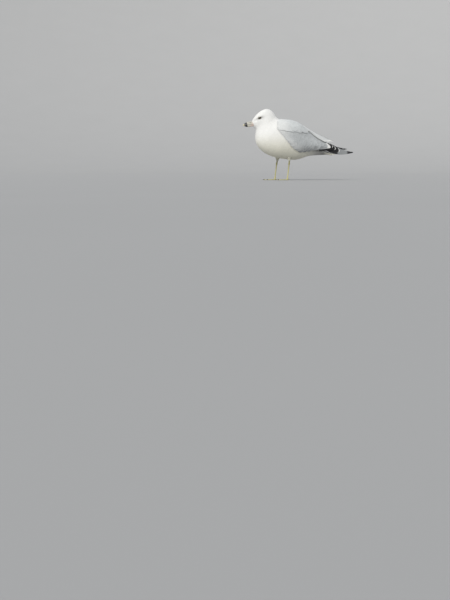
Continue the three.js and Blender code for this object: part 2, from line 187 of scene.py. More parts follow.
def sheet_shell(outside, inside):
    """Two grids of points as the two faces of a closed sheet, with a wall one quad wide round its edge."""
    rows, columns, _ = outside.shape
    ring = np.concatenate([outside, inside[:, ::-1]], axis=1)
    around = 2 * columns
    k = np.arange(columns - 1)
    first = np.stack([k, k + 1, around - 2 - k, around - 1 - k], -1)
    last = first[:, ::-1] + (rows - 1) * around
    return ring.reshape(-1, 3), np.vstack([grid_faces(rows, around, closed=True), first, last])


def dress(piece, slot, *nodes):
    """Rides a finished piece on the one body and lets it stand for its solids. The slot is not used."""
    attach(piece, "root")
    if nodes:
        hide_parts(*nodes)
    tris = sum(len(p.vertices) - 2 for p in piece.data.polygons)
    print(f"{piece.name}: {tris} triangles")
    return piece


# %% [markdown]
# ## Paint
#
# A gull's colours are few: white, a pale blue-grey back, black wing tips and a dull yellow for the bare
# parts. Each finish is one material that reads the tint of the point it paints and adds what is too fine
# for the mesh: the barbs that run slantwise off each feather's shaft, and a fine net of cells on the legs
# and the bill. The barbs come from a map in which one unit is ten millimetres, across the feather and along
# it.

# %% Colours, as linear light
WHITE = np.array([0.84, 0.835, 0.81])
CREAM = np.array([0.80, 0.78, 0.66])
DUSK = np.array([0.50, 0.47, 0.42])
GREY = np.array([0.52, 0.54, 0.545])
PALE_GREY = np.array([0.64, 0.66, 0.655])
BLACK = np.array([0.016, 0.016, 0.017])
LEG = np.array([0.60, 0.56, 0.25])
LEG_DARK = np.array([0.30, 0.28, 0.15])
HORN_TIP = np.array([0.66, 0.60, 0.36])
HORN_BASE = np.array([0.64, 0.62, 0.53])
HORN_PINK = np.array([0.70, 0.56, 0.49])


def blend(a, b, share):
    return a + (b - a) * np.asarray(share)[..., None]


def creamy(z):
    """How far white has turned to cream: not at all over 205 mm high, fully under 115."""
    return smooth(-z, -205, -115)


def connect(tree, node, inputs):
    """Sets each named or numbered input to a value, or links it to another node's output."""
    for key, value in inputs.items():
        if isinstance(value, bpy.types.NodeSocket):
            tree.links.new(value, node.inputs[key])
        else:
            node.inputs[key].default_value = value


def add_node(tree, kind, inputs, **settings):
    node = tree.nodes.new("ShaderNode" + kind)
    for key, value in settings.items():
        setattr(node, key, value)
    connect(tree, node, inputs)
    return node.outputs


def maths(tree, kind, *inputs):
    return add_node(tree, "Math", dict(enumerate(inputs)), operation=kind)[0]


def scaled(tree, colour, share):
    return add_node(tree, "VectorMath", {0: colour, "Scale": share}, operation="SCALE")[0]


def new_material(name):
    """A material with its node tree, its shader, and the object's own place as a texture's vector."""
    material = bpy.data.materials.new(name)
    material.use_nodes = True
    tree = material.node_tree
    return material, tree, tree.nodes["Principled BSDF"], add_node(tree, "TexCoord", {})["Object"]


def mottled(tree, place, scale, depth):
    """The point's tint times a soft noise that strays from 1 by the given depth, and the noise itself."""
    tint = add_node(tree, "Attribute", {}, attribute_name="tint")["Color"]
    noise = add_node(tree, "TexNoise", {"Scale": scale, "Detail": 4, "Vector": place})["Fac"]
    return scaled(tree, tint, maths(tree, "MULTIPLY_ADD", noise, 2 * depth, 1 - depth)), noise


def raised(tree, height, strength, distance):
    return add_node(tree, "Bump", {"Strength": strength, "Distance": distance, "Height": height})[0]


MAP_UNIT = 10  # mm of a feather to one unit of its map
BARB_SLANT = -1.3  # how far along a barb runs back for each step away from the shaft
BARB_HEIGHT, CELL_HEIGHT, CELL_WALL = 0.00006, 0.001, 0.12


def feather_material(name, barb_mm, relief, roughness, sheen):
    """Barbs are ridges that run off the shaft at a slant: the sine of along + 1.3 x distance from the
    shaft."""
    material, tree, shader, place = new_material(name)
    vane = add_node(tree, "UVMap", {}, uv_map="vane")[0]
    split = add_node(tree, "SeparateXYZ", {0: vane})
    slant = maths(tree, "MULTIPLY_ADD", maths(tree, "ABSOLUTE", split["X"]), BARB_SLANT, split["Y"])
    noise = add_node(tree, "TexNoise", {"Scale": 260, "Vector": place})["Fac"]
    phase = maths(tree, "MULTIPLY", slant, 2 * math.pi * MAP_UNIT / barb_mm)
    ridge = maths(tree, "SINE", maths(tree, "MULTIPLY_ADD", noise, 3.0, phase))
    colour, _ = mottled(tree, place, 90, 0.05)
    connect(tree, shader, {
        "Base Color": scaled(tree, colour, maths(tree, "MULTIPLY_ADD", ridge, 0.02, 1.0)),
        "Normal": raised(tree, ridge, relief, BARB_HEIGHT),
        "Roughness": roughness, "Sheen Weight": sheen, "Sheen Roughness": 0.5, "Specular IOR Level": 0.3})
    return material


down_white = feather_material("white contour feather", 0.4, 0.2, 0.75, 0.12)
down_grey = feather_material("blue-grey back feather", 0.5, 0.4, 0.62, 0.06)
quill_grey = feather_material("grey flight feather", 0.7, 0.5, 0.55, 0.05)
quill_black = feather_material("black flight feather", 0.7, 0.4, 0.6, 0.0)
quill_white = feather_material("white tail feather", 0.7, 0.5, 0.6, 0.08)


def bare_material(name, scale, depth, roughness, coat, bump_scale, relief):
    """A bare part: its tint with a soft mottle, and a fine net of cells for its relief."""
    material, tree, shader, place = new_material(name)
    colour, noise = mottled(tree, place, scale, depth)
    cells = add_node(tree, "TexVoronoi", {"Scale": bump_scale, "Vector": place}, feature="DISTANCE_TO_EDGE")
    wall = maths(tree, "MINIMUM", cells["Distance"], CELL_WALL)
    connect(tree, shader, {
        "Base Color": colour,
        "Normal": raised(tree, maths(tree, "MULTIPLY_ADD", noise, 0.15, wall), relief, CELL_HEIGHT),
        "Roughness": roughness, "Coat Weight": coat, "Coat Roughness": 0.25})
    return material


skin_paint = bare_material("skin and scaled legs", 300, 0.08, 0.55, 0.05, 900, 0.5)
horn_paint = bare_material("bill sheath", 160, 0.07, 0.42, 0.08, 500, 0.06)
claw_paint = bare_material("black horn", 300, 0.2, 0.35, 0.3, 600, 0.1)
lid_paint = bare_material("bare ring of the eye", 700, 0.12, 0.5, 0.1, 2200, 0.4)
eye_paint = bare_material("wet eye", 2600, 0.1, 0.08, 1.0, 3000, 0.0)
print("materials:", len(bpy.data.materials))

# %% [markdown]
# ## The body's own surface
#
# Head, neck and trunk are one smooth form. It is a row of ribs: each rib is an upright slice from a point
# on the back line to a point on the belly line, with a half width, the height at which it is widest, and
# how round it is above and below. The ribs lean, because a gull at rest draws its neck in and the head sits
# over the breast. The solids are cut from the same ribs, so the feathers can be laid on this surface and
# meet their outline.

# %% Ribs
RIBS = np.array([
    # back x, z, belly x, z, half width, height of the widest point, roundness above, below
    [-194, 235, -189, 217, 6.5, 0.5, 2.0, 2.0],  # bill root
    [-187, 247.5, -182, 211.5, 12.5, 0.46, 2.0, 2.0],  # lores
    [-172.5, 265.5, -177.5, 207, 18.5, 0.48, 2.0, 2.1],  # forehead
    [-155, 278.5, -176.5, 203, 22.8, 0.52, 2.0, 2.2],  # front of the crown
    [-136, 286, -176.5, 198.5, 25.5, 0.52, 2.0, 2.2],  # crown
    [-118, 282.5, -177, 192.5, 28.0, 0.5, 2.0, 2.2],  # hind crown
    [-105, 272, -178.5, 183, 32.0, 0.48, 2.0, 2.2],  # nape
    [-95, 257, -178.5, 167, 38.5, 0.46, 2.0, 2.2],  # neck
    [-84, 248, -174, 148, 46.5, 0.46, 2.1, 2.2],  # shoulder
    [-68, 245, -160.5, 127.5, 54.5, 0.48, 2.2, 2.2],  # breast
    [-46, 243, -135, 107.5, 60.5, 0.5, 2.2, 2.2],
    [-24, 240, -98, 93, 64.0, 0.5, 2.2, 2.2],  # deepest
    [-2, 230, -56, 85.5, 61.0, 0.5, 2.2, 2.2],
    [20, 205, -14, 82.5, 53.0, 0.5, 2.1, 2.1],  # thighs
    [38, 178, 14, 88, 42.0, 0.48, 2.0, 2.0],  # vent
    [60, 151, 42, 97.5, 30.0, 0.45, 2.0, 2.0],
    [86, 131, 74, 101, 22.0, 0.42, 2.0, 2.0],  # under-tail coverts
    [108, 120.5, 101, 102.5, 18.0, 0.42, 2.0, 2.0],
    [124, 115.5, 119, 104, 13.0, 0.42, 2.0, 2.0],
])
LAST_RIB = len(RIBS) - 1
EYE = np.array([-164.5, 16.7, 248.5])  # the left and right eyes' centre, with y towards its side
LID_HALF = np.array([6.0, 4.7])  # the lids' outer rim: half its length and half its height
LID_TILT = 0.3  # its slope, in radians


def eye_distance(p):
    """How far a point of the face lies from the eye, in units of the lids' rim, an ellipse tilted by the
    slope."""
    dx, dz = p[..., 0] - EYE[0], p[..., 2] - EYE[2]
    level, rising = math.cos(LID_TILT), math.sin(LID_TILT)
    u, w = dx * level + dz * rising, dz * level - dx * rising
    return np.hypot(u / LID_HALF[0], w / LID_HALF[1])


FACE_FORMS = [  # depth (minus stands out), middle behind and above the eye's, half length and height, slope
    (0.5, 0, 0, 8.5, 6.5, 0),  # the bowl round the eye
    (1.5, -12.5, -7.5, 8, 5, 0.6),  # the groove from it to the bill
    (-0.8, 1, 8.5, 9, 3.5, 0),  # the brow
    (-0.8, 4, -15, 11, 8, 0),  # the cheek
]


def sockets(p):
    """How far the face falls in: a sum of bells, each as deep, wide and sloped as its row says."""
    x, y, z = p[..., 0], np.abs(p[..., 1]), p[..., 2]
    fall = 0
    for depth, behind, above, long, high, slope in FACE_FORMS:
        dx, dz = x - EYE[0] - behind, z - EYE[2] - above
        fall = fall + depth * np.exp(-((dx / long) ** 2 + ((dz - slope * dx) / high) ** 2))
    return fall * smooth(y, 6, 14)


def body(t, phi, grow=0.0):
    """A rib's point: up from its widest height by |cos| to the power 2/n of the length left, and out by
    |sin| to the same power of the half width. phi runs from the back (0) to the belly (pi), and is minus on
    the left."""
    rib = along(RIBS, t)
    bx, bz, vx, vz, half, high, above, below = np.moveaxis(rib, -1, 0)
    c, s = np.cos(phi), np.sin(phi)
    power = 2 / np.where(c > 0, above, below)
    length = np.hypot(bx - vx, bz - vz)
    up = high + np.where(c > 0, 1 - high, -high) * (1 + 2 * grow / length) * np.abs(c) ** power
    y = (half + grow) * wave(s, power)
    p = np.stack([vx + (bx - vx) * up, y, vz + (bz - vz) * up], -1)
    p[..., 1] -= np.sign(y) * sockets(p)
    return p


middle_rib = body(np.array([LAST_RIB / 2]), np.array([0.0]))[0]

# %% [markdown]
# ## The folded wing's surface
#
# A folded wing is a stack of feathers that lie along each other like roof tiles, so its outside is one
# smooth form too. It is given by slices across the bird: the ridge, the widest point, and the wing's lower
# edge. Two shares place a point on it: how far along from shoulder to tip, and how far across from ridge to
# lower edge.

# %% Wing slices
WING = np.array([
    # x, ridge z, z of the widest point, half width, roundness, z of the lower edge
    [-100, 243, 166, 61.5, 2.2, 204],
    [-82, 245.5, 166, 65.0, 2.2, 182],
    [-57, 245, 163, 67.0, 2.2, 151],
    [-31, 242.5, 158, 66.0, 2.15, 125],
    [-7, 234.5, 152, 61.5, 2.1, 110.5],
    [18, 218, 146, 54.0, 2.0, 111],
    [46, 199, 140, 45.0, 1.85, 115],
    [74, 182, 135, 37.0, 1.7, 119],
    [104, 167, 131, 30.0, 1.6, 122],
    [134, 151, 128, 24.0, 1.6, 125.5],
])
WING_BELLY_Z, WING_BELLY_ROUNDNESS = 84, 2.1
LAST_SLICE = len(WING) - 1


def low_edge_angle(row):
    """The angle at which a slice comes down to the wing's lower edge, from its superellipse turned
    round."""
    _, ridge, wide, _, roundness, low = np.moveaxis(row, -1, 0)
    above = np.clip((low - wide) / (ridge - wide), 0, 1)
    below = np.clip((wide - low) / (wide - WING_BELLY_Z), 0, 1)
    high = np.arccos(np.clip(above ** (roundness / 2), 0, 1))
    deep = np.arccos(-(below ** (WING_BELLY_ROUNDNESS / 2)))
    return np.where(low > wide, high, deep)


def wing(side, s, v, grow=0.0):
    """A slice's point at share s along and v across: height by |cos| to a power, half width by |sin| to
    it."""
    row = along(WING, s * LAST_SLICE)
    x, ridge, wide, half, roundness, _ = np.moveaxis(row, -1, 0)
    angle = v * low_edge_angle(row)
    c, k = np.cos(angle), np.sin(angle)
    power = 2 / np.where(c > 0, roundness, WING_BELLY_ROUNDNESS)
    depth = np.where(c > 0, ridge - wide, wide - WING_BELLY_Z)
    return stacked(x, side * (half + grow) * wave(k, power), wide + (depth + grow) * wave(c, power))


def wing_low_z(x):
    """Height of the wing's lower edge at a place along the bird."""
    return np.interp(x, WING[:, 0], WING[:, 5], left=300, right=125)


print("wing tip slice, mm:", np.round(wing(-1, np.array([1.0]), np.array([0.5]))[0], 1))

# %% [markdown]
# ## Spreading roots evenly
#
# Feathers grow evenly over the skin, finer on the head than on the breast. Each surface is measured on a
# fine grid: a cell's area divided by the square of the spacing wanted there is how many feathers it holds.
# A pair of numbers that fills a square without clumps, the multiples of two irrational steps, is then bent
# so that it fills the surface in that measure. A long strip of surface takes several such squares side by
# side.

# %% Spread
R2_STEPS = np.array([0.7548776662, 0.5698402910])
CELLS = 160  # cells of the measuring grid each way
DENSITY = 1.35  # more roots than the spacing alone asks for, so that the vanes close over each other
BELOW_ONE = 0.999999


def tangents(surface, a, b, step=(0.01, 0.004)):
    """The two directions in which the surface runs, as differences over a small step both ways."""
    da, db = step
    pa = (surface(a + da, b) - surface(a - da, b)) / (2 * da)
    pb = (surface(a, b + db) - surface(a, b - db)) / (2 * db)
    return pa, pb


def spread(surface, a_range, b_range, spacing):
    """Roots on a patch of surface, so many to an area that neighbours are a given spacing apart."""
    a_edge, b_edge = np.linspace(*a_range, CELLS + 1), np.linspace(*b_range, CELLS + 1)
    a_mid, b_mid = (a_edge[1:] + a_edge[:-1]) / 2, (b_edge[1:] + b_edge[:-1]) / 2
    aa, bb = np.meshgrid(a_mid, b_mid, indexing="ij")
    pa, pb = tangents(surface, aa, bb)
    area = np.linalg.norm(np.cross(pa, pb), axis=-1) * (a_edge[1] - a_edge[0]) * (b_edge[1] - b_edge[0])
    share = DENSITY * area / spacing(surface(aa, bb)) ** 2
    long_a = np.linalg.norm(pa, axis=-1).mean() * (a_range[1] - a_range[0])
    long_b = np.linalg.norm(pb, axis=-1).mean() * (b_range[1] - b_range[0])
    squares = np.maximum(1, np.round([long_a / long_b, long_b / long_a])).astype(int)
    order = np.arange(1, int(share.sum()) + 1)
    square = order * squares.prod() // (len(order) + 1)
    corner = np.stack([square % squares[0], square // squares[0]], -1)
    pairs = ((0.5 + order[:, None] * R2_STEPS) % 1 + corner) / squares
    rows = np.concatenate([[0], np.cumsum(share.sum(1))])
    a = np.interp(pairs[:, 0] * rows[-1], rows, a_edge)
    row = np.clip(np.searchsorted(a_edge, a) - 1, 0, CELLS - 1)
    inside = np.hstack([np.zeros((CELLS, 1)), np.cumsum(share, 1)]) / share.sum(1)[:, None]
    ladder = (inside * BELOW_ONE + np.arange(CELLS)[:, None]).ravel()
    b = np.interp(row + pairs[:, 1] * BELOW_ONE, ladder, np.tile(b_edge, CELLS))
    return a, b


# %% [markdown]
# ## One feather, many times
#
# A contour feather is a small vane: narrow at its root, widest past the middle, with a rounded tip that
# frays into locks of barbs. Its grid is laid on the bird's surface itself, by small steps along the lie of
# the coat and across it, and then lifted from a sunk root to a tip that just stands clear of the feather
# behind. So a vane bends with the body under it. All the vanes of one part of the coat are joined in one
# mesh.

# %% Vanes
def vanes(name, surface, a, b, lie, length, width, material, colour, *, outward=1, sink=1.6, rise=0.25,
          camber=0.35, locks=3, rows=4, fray=0.16, rounding=0.34, waist=0.45, spread_deg=7, tuck=0.0,
          droop=0.0, smoothness=0.6, chart, seed):
    """Lays one vane at every root. Heights, in mm over the surface: the sink, which fades as the power 3.2
    of the share still to come, and the rise at the tip, less camber times the square of the share across,
    less the tuck as the power 6 of the share along, which presses a soft tip into the feathers behind it,
    and less the droop as its power 3, which lets the last row of a coat hang over a step. Half width: the
    waist at the root, full at 60 % and a rounded end, because a column at share c across is shorter by
    rounding x |c| to the power 2.3 and every second one by the fray. The shading normal is the surface's
    own, leaned back by part of the slopes of that height law, as soft barbs scatter light into their
    neighbours."""
    rng = np.random.default_rng(seed)
    n = len(a)
    length, width = (np.broadcast_to(v, n) * rng.uniform(0.88, 1.12, n) for v in (length, width))
    root = surface(a, b)
    pa, pb = tangents(surface, a, b)
    normal = outward * unit(np.cross(pa, pb))
    turn = np.radians(rng.normal(0, spread_deg, n))[:, None]
    d = unit(lie - normal * dots(lie, normal)[:, None])
    e = np.cross(normal, d)
    d, e = d * np.cos(turn) + e * np.sin(turn), e * np.cos(turn) - d * np.sin(turn)
    aa, ab, bb = dots(pa, pa), dots(pa, pb), dots(pb, pb)
    scale = aa * bb - ab * ab

    def steps(way):
        ra, rb = dots(pa, way), dots(pb, way)
        return ((bb * ra - ab * rb) / scale)[:, None, None], ((aa * rb - ab * ra) / scale)[:, None, None]

    (da, db), (ea, eb) = steps(d), steps(e)
    columns = 2 * locks + 1
    u = np.linspace(0, 1, rows + 1)[None, :, None]
    c = np.linspace(-1, 1, columns)[None, None, :]
    odd = (np.arange(columns) % 2 == 0)[None, None, :]
    notch = fray * (odd * rng.uniform(0.4, 1.3, (n, 1, columns)) + rng.uniform(-0.35, 0.35, (n, 1, columns)))
    reach = 1 - rounding * np.abs(c) ** 2.3 - notch
    far = length[:, None, None] * u * (1 - (1 - reach) * u ** 1.5)
    out = width[:, None, None] / 2 * c * (waist + (1 - waist) * np.sin(np.pi / 2 * np.minimum(1, u / 0.6)))
    qa, qb = a[:, None, None] + far * da + out * ea, b[:, None, None] + far * db + out * eb
    ta, tb = tangents(surface, qa, qb)
    up = outward * unit(np.cross(ta, tb))
    high = rise * u - sink * (1 - u) ** 3.2 - camber * c * c * (0.4 + 0.6 * u) - tuck * u ** 6
    high = high - np.broadcast_to(droop, n)[:, None, None] * u ** 3
    high = high + rng.uniform(-0.04, 0.04, n)[:, None, None] * u
    points = surface(qa, qb) + up * high[..., None]
    climb = (np.gradient(high, axis=1) * rows / length[:, None, None])[..., None]
    fall = (-4 * camber * c * (0.4 + 0.6 * u) / width[:, None, None])[..., None]
    soft = unit(up - (1 - smoothness) * (d[:, None, None] * climb + e[:, None, None] * fall))

    faces = grid_faces(rows + 1, columns)
    per = (rows + 1) * columns
    faces = (faces[None] + np.arange(n)[:, None, None] * per).reshape(-1, 4)
    shade = colour(root, normal, u, c, rng.random(n))
    shade = np.broadcast_to(shade, points.shape)
    vane_map = np.stack([out / 10, far / 10], -1)
    a0, a1, b0, b1 = chart
    home = np.stack([(a - a0) / (a1 - a0), (b - b0) / (b1 - b0)], -1) * 0.99 + 0.005
    patch = np.stack(np.broadcast_arrays(c, u - 0.5), -1) * np.array([0.0015, 0.003])
    bake_map = home[:, None, None, :] + patch

    def flat(v):
        return np.ascontiguousarray(v.reshape(-1, v.shape[-1]))

    maps = {"vane": flat(vane_map), "OFBake": flat(bake_map)}
    piece = mesh_piece(name, flat(points), faces, material, flat(shade), maps)
    piece.data.normals_split_custom_set_from_vertices(flat(soft))
    return piece


def tone(base, rnd, u, depth=0.05, root_shade=0.12):
    """A feather's colour: its own, a little lighter or darker than its neighbours, and a painted shade that
    darkens it towards its root, where the feathers before it lie over it."""
    own = 1 + depth * (2 * rnd[:, None, None, None] - 1)
    return base * own * (1 - root_shade * (1 - np.asarray(u)[..., None]) ** 2)


# %% [markdown]
# ## Skin
#
# Under its feathers a gull is one unbroken skin, from the root of the bill to the toes. It is made as a few
# closed shells, each worked out by its own formula: the body, the cape of the folded wings, two thighs, two
# legs, and each foot's toes, webs and pads. A boolean union then welds them, so that no shell passes
# through another and no seam shows where a shin leaves the belly. The depth at which it lies is the coat's
# depth.

# %% Shells of the body and the folded wings
COAT_DEPTH = np.array([0.7, 0.9, 1.1, 1.4, 1.8, 2.4, 2.9, 3.3, 3.3, 3.0, 2.6, 2.0, 1.6])[:, None]
WING_ROOM = 0.45  # the feathers' share of the folded wing's depth


def coat_depth(t):
    """The coat's depth in mm over rib t: thin on the face, deepest on the breast, thin again by the
    tail."""
    return along(COAT_DEPTH, t / LAST_RIB * (len(COAT_DEPTH) - 1))[..., 0]


def wing_depth(s, v):
    """The folded wing's depth: 1.2 at its edges, and in its middle 7 at the front, falling to 2.4 at 62
    %."""
    middle = 7 - 4.6 * np.minimum(1, s / 0.62)
    return 1.2 + (middle - 1.2) * np.sin(np.pi * (0.12 + 0.85 * v))


def body_shell():
    """The ribs' surface less the coat's depth, with rings closer together on the head, and pressed in by 4
    mm under the lids, where the skull leaves room for the eye."""
    t = np.concatenate([np.linspace(0, 5, 120), np.linspace(5.08, LAST_RIB, 150)])[:, None]
    phi = np.linspace(-np.pi, np.pi, 161)[None, :-1]
    p = body(t + 0 * phi, phi + 0 * t, -coat_depth(t + 0 * phi))
    p[..., 1] -= np.sign(p[..., 1]) * 4 * (1 - smooth(eye_distance(p), 0.82, 1.0))
    return tube_mesh(p)


def cape_shell():
    """Both folded wings as one sheet, from near the left lower edge over the ridge to near the right one;
    it stops further above that edge behind, where the coverts do too."""
    s = np.linspace(0.025, 0.93, 90)[:, None]
    across = np.linspace(-1, 1, 121)[None, :]
    v, side = np.abs(across) * (0.96 - 0.10 * smooth(s, 0.45, 0.85)), np.where(across < 0, -1, 1)
    depth = wing_depth(s, v)
    return sheet_shell(wing(side, s + 0 * v, v, -WING_ROOM * depth), wing(side, s + 0 * v, v, -depth))


shells = [body_shell(), cape_shell()]
print("body and cape:", [len(faces) for _, faces in shells], "triangles")

# %% [markdown]
# ## Legs and feet
#
# A gull's lower leg and foot are bare and scaled. Down the front of the long bone runs a row of broad
# plates, and over each toe a row of narrow ones, so the radius of these tubes is stepped: it swells a
# little over each plate and drops at its edge. The joints between are knobs. Soles are cut flat where they
# stand on the ground.

# %% Shells of the legs and feet
LEGS = {  # hip, ankle and heel, with y towards the leg's own side, and how far the foot turns out, in degrees
    "left": ([-41, 25, 92], [-42.5, 26, 66], [-49, 27, 7.5], 4),
    "right": ([-80, 25, 92], [-84.5, 26, 66], [-91, 27, 7.5], -2),
}
TOES = {"inner": (35, -24), "middle": (45, -1), "outer": (42, 21)}  # length, degrees out
SHIN, CANNON, ANKLE_KNOB, HEEL_KNOB = 2.9, 2.3, 1.4, 0.75
TOE_ROOT, TOE_TIP, SOLE = 2.6, 1.6, 0.55
PLATE, TOE_PLATE = 2.7, 1.5  # how far apart the scales of the leg and of the toes are
HIND_LENGTH, HIND_RADIUS = 8, 1.6
SHIN_TOP, FOOT_TOP = 78, 8  # the heights where the shin's feathers end and where the foot's scales begin


def plates(distance, pitch, step):
    """A row of scales: each rises slowly along its pitch and drops back by the step at its edge."""
    return step * ((distance / pitch) % 1 - 0.5)


def leg_points(name):
    """The hip, ankle and heel of a leg, on its own side of the bird."""
    return [np.array(point, float) * [1, SIDES[name], 1] for point in LEGS[name][:3]]


def leg_shell(name):
    """The bare leg, ring by ring down from inside the thigh: the radius is the shin's or the long bone's,
    with a bell-shaped knob at the ankle and the heel, and plates over the front half."""
    hip, ankle, heel = leg_points(name)
    z = np.linspace(hip[2], heel[2] - 1, 230)[:, None]
    angle = turns(24)
    upper = z > ankle[2]
    share = np.where(upper, (hip[2] - z) / (hip[2] - ankle[2]), (ankle[2] - z) / (ankle[2] - heel[2]))
    x = np.where(upper, hip[0] + (ankle[0] - hip[0]) * share, ankle[0] + (heel[0] - ankle[0]) * share)
    y = np.where(upper, hip[1] + (ankle[1] - hip[1]) * share, ankle[1] + (heel[1] - ankle[1]) * share)
    bone = np.where(upper, CANNON + (SHIN - CANNON) * np.minimum(1, (z - ankle[2]) / 12), CANNON)
    knobs = ANKLE_KNOB * bell(z - ankle[2], 4.5) + HEEL_KNOB * bell(z - heel[2], 6)
    front = smooth(-np.cos(angle), -0.2, 0.5)
    radius = bone + knobs + plates(z, PLATE, 0.36) * front + plates(z + 1.2 * angle, 1.3, 0.08) * (1 - front)
    return tube_mesh(stacked(x + radius * np.cos(angle), y + 0.8 * radius * np.sin(angle), z))


def thigh_shell(name):
    """The feathered end of the thigh, a cone that narrows into the shin."""
    hip, ankle, _ = leg_points(name)
    z = np.linspace(hip[2] + 8, SHIN_TOP, 20)[:, None]
    angle = turns(24)
    middle = hip + (ankle - hip) * ((hip[2] - z) / (hip[2] - ankle[2]))
    radius = 3.0 + 4.6 * smooth(z, SHIN_TOP + 1, hip[2] + 6)
    x, y = middle[:, :1] + 1.2 * radius * np.cos(angle), middle[:, 1:2] + radius * np.sin(angle)
    return tube_mesh(stacked(x, y, z))


def toe_lines(name):
    """Each front toe's root, direction and length."""
    side = SIDES[name]
    _, _, heel, turn = LEGS[name]
    root = np.array([heel[0] - 1, side * heel[1], 0.0])
    turned = {toe: math.radians(out + turn) for toe, (_, out) in TOES.items()}
    ways = {toe: np.array([-math.cos(a), side * math.sin(a), 0.0]) for toe, a in turned.items()}
    return {toe: (root, ways[toe], TOES[toe][0]) for toe in TOES}


def toe_shell(root, way, length, radii=(TOE_ROOT, TOE_TIP), joints=3, heights=(0.0, 0.0)):
    """A tapering tube along the ground with swollen joints, plates over its top and a flat sole."""
    across = np.array([-way[1], way[0], 0])
    s = np.linspace(0, 1, int(length * 1.7))[:, None]
    angle = turns(16)
    round_end = np.sqrt(np.clip(1 - ((s - 0.93) / 0.07).clip(0, 1) ** 2 * 0.8, 0, 1))
    radius = (radii[0] + (radii[1] - radii[0]) * s) * (1 + 0.12 * np.cos(2 * np.pi * joints * s)) * round_end
    radius = radius + plates(s * length, TOE_PLATE, 0.2) * smooth(np.cos(angle), 0, 0.5)
    up = 0.85 * radius * (np.cos(angle) + SOLE) + heights[0] + (heights[1] - heights[0]) * s
    points = root + way * (s * length)[..., None] + across * (radius * np.sin(angle))[..., None]
    points[..., 2] = np.maximum(0, up)
    return tube_mesh(points)


def web_shell(toe_a, toe_b):
    """The web between two toes: straight lines from toe to toe, drawn in by a tenth halfway, and
    rippled."""
    (root, way_a, len_a), (_, way_b, len_b) = toe_a, toe_b
    s, v = np.linspace(0.06, 0.93, 26)[:, None], np.linspace(0, 1, 15)[None, :]
    w = v[..., None]
    reach = (way_a * len_a * (1 - w) + way_b * len_b * w) * (1 - 0.4 * w * (1 - w))
    flat = root + reach * s[..., None]
    ripple = 0.16 * np.sin(v * 6 * np.pi + 1.5) * np.sin(np.pi * v) * s - 0.25 * np.sin(np.pi * v) * s
    top, under = flat + [0, 0, 1.35], flat + [0, 0, 0.55]
    top[..., 2] += ripple
    under[..., 2] += ripple
    return sheet_shell(top, under)


def heel_shell(name):
    heel = leg_points(name)[2]
    z = np.linspace(0, heel[2], 14)[:, None]
    angle = turns(24)
    radius = 3.2 + 0.8 * np.sin(np.pi * z / heel[2]) + plates(z, 1.8, 0.2)
    x, y = heel[0] + radius * np.cos(angle), heel[1] + 0.85 * radius * np.sin(angle)
    return tube_mesh(stacked(x, y, z))


def hind_toe_line(name):
    heel = leg_points(name)[2]
    return np.array([heel[0] + 1, heel[1] - 2 * SIDES[name], 0.0]), np.array([1.0, 0.0, 0.0]), HIND_LENGTH


for name in SIDES:
    toes = toe_lines(name)
    shells += [thigh_shell(name), leg_shell(name), heel_shell(name)]
    shells += [toe_shell(*line) for line in toes.values()]
    shells += [web_shell(toes["middle"], toes[other]) for other in ("inner", "outer")]
    hind = hind_toe_line(name)
    shells.append(toe_shell(*hind, radii=(HIND_RADIUS, 1.1), joints=1, heights=(2.8, 0.0)))
print("shells in all:", len(shells))

# %% [markdown]
# ## Welding the skin
#
# The union keeps every outer face as it was and drops what lies inside another shell. The manifold solver
# is the quick one, and it needs shells that are closed and turned outwards, which the formulas give. The
# skin carries the coat's own markings, so a gap between two feathers shows the same colour underneath.

# %% Union and markings
def weld(name, parts, material):
    """Adds each shell to the first one by a boolean union, applied at once."""
    whole = None
    for k, shell in enumerate(parts):
        piece = closed_piece(f"{name}_{k}", shell, material)
        if whole is None:
            whole = piece
            continue
        union = whole.modifiers.new("union", "BOOLEAN")
        union.operation, union.solver, union.object = "UNION", "MANIFOLD", piece
        welded = bpy.data.meshes.new_from_object(whole.evaluated_get(bpy.context.evaluated_depsgraph_get()))
        whole.modifiers.clear()
        whole.data = welded
        bpy.data.objects.remove(piece)
    whole.name = name
    return whole


def skin_tint(p):
    """White, grey where the cape of the wings lies, dull yellow below the thighs, and darker up the shin
    towards the belly as painted shade.
    """
    x, y, z = p[:, 0], np.abs(p[:, 1]), p[:, 2]
    under_wing = smooth(z - wing_low_z(x), -4, 4) * smooth(x, -92, -80)
    tint = blend(blend(WHITE, CREAM, creamy(z)), GREY, under_wing)
    bare = smooth(-z, -SHIN_TOP - 2, -SHIN_TOP + 2) * smooth(-x, 30, 34)
    far = [np.abs(x - LEGS[name][2][0]) + 60 * (np.sign(p[:, 1]) != SIDES[name]) for name in SIDES]
    heel = np.array([LEGS[name][2][:2] for name in SIDES])[np.argmin(far, 0)]
    out = np.hypot(x - heel[:, 0] + 1, y - heel[:, 1]) / TOE_PLATE
    row = np.where(z > FOOT_TOP, z / PLATE, out) % 1
    front = smooth(-x, -heel[:, 0] - 9, 99)
    seam = bell(np.minimum(row, 1 - row), 0.13) * np.where(z > FOOT_TOP, front, 1)
    dusty = 0.5 + 0.5 * np.sin(x * 0.9 + y * 1.7) * np.sin(z * 0.8)
    # painted shade: the bare leg darkens by up to a half towards the top of the shin, under the belly
    leg = blend(LEG, LEG_DARK, 0.25 * dusty + 0.4 * seam) * (1 - 0.5 * smooth(z, 35, SHIN_TOP))[:, None]
    return blend(tint, leg, bare)


skin = weld("skin", shells, skin_paint)
skin_points = np.empty(len(skin.data.vertices) * 3)
skin.data.vertices.foreach_get("co", skin_points)
paint(skin.data, skin_tint(skin_points.reshape(-1, 3) / MM))
dress(skin, "plumage", *FLESH)


# %% [markdown]
# ## White contour feathers
#
# The white coat runs from the bill back over the head, down the neck and breast, and under the wings to the
# tail. Its feathers all point away from the bill, along the ribs' own direction of travel. They are
# smallest round the bill and the eyes. None grows inside the bill, over an eye, or where the folded wing
# lies against the body.

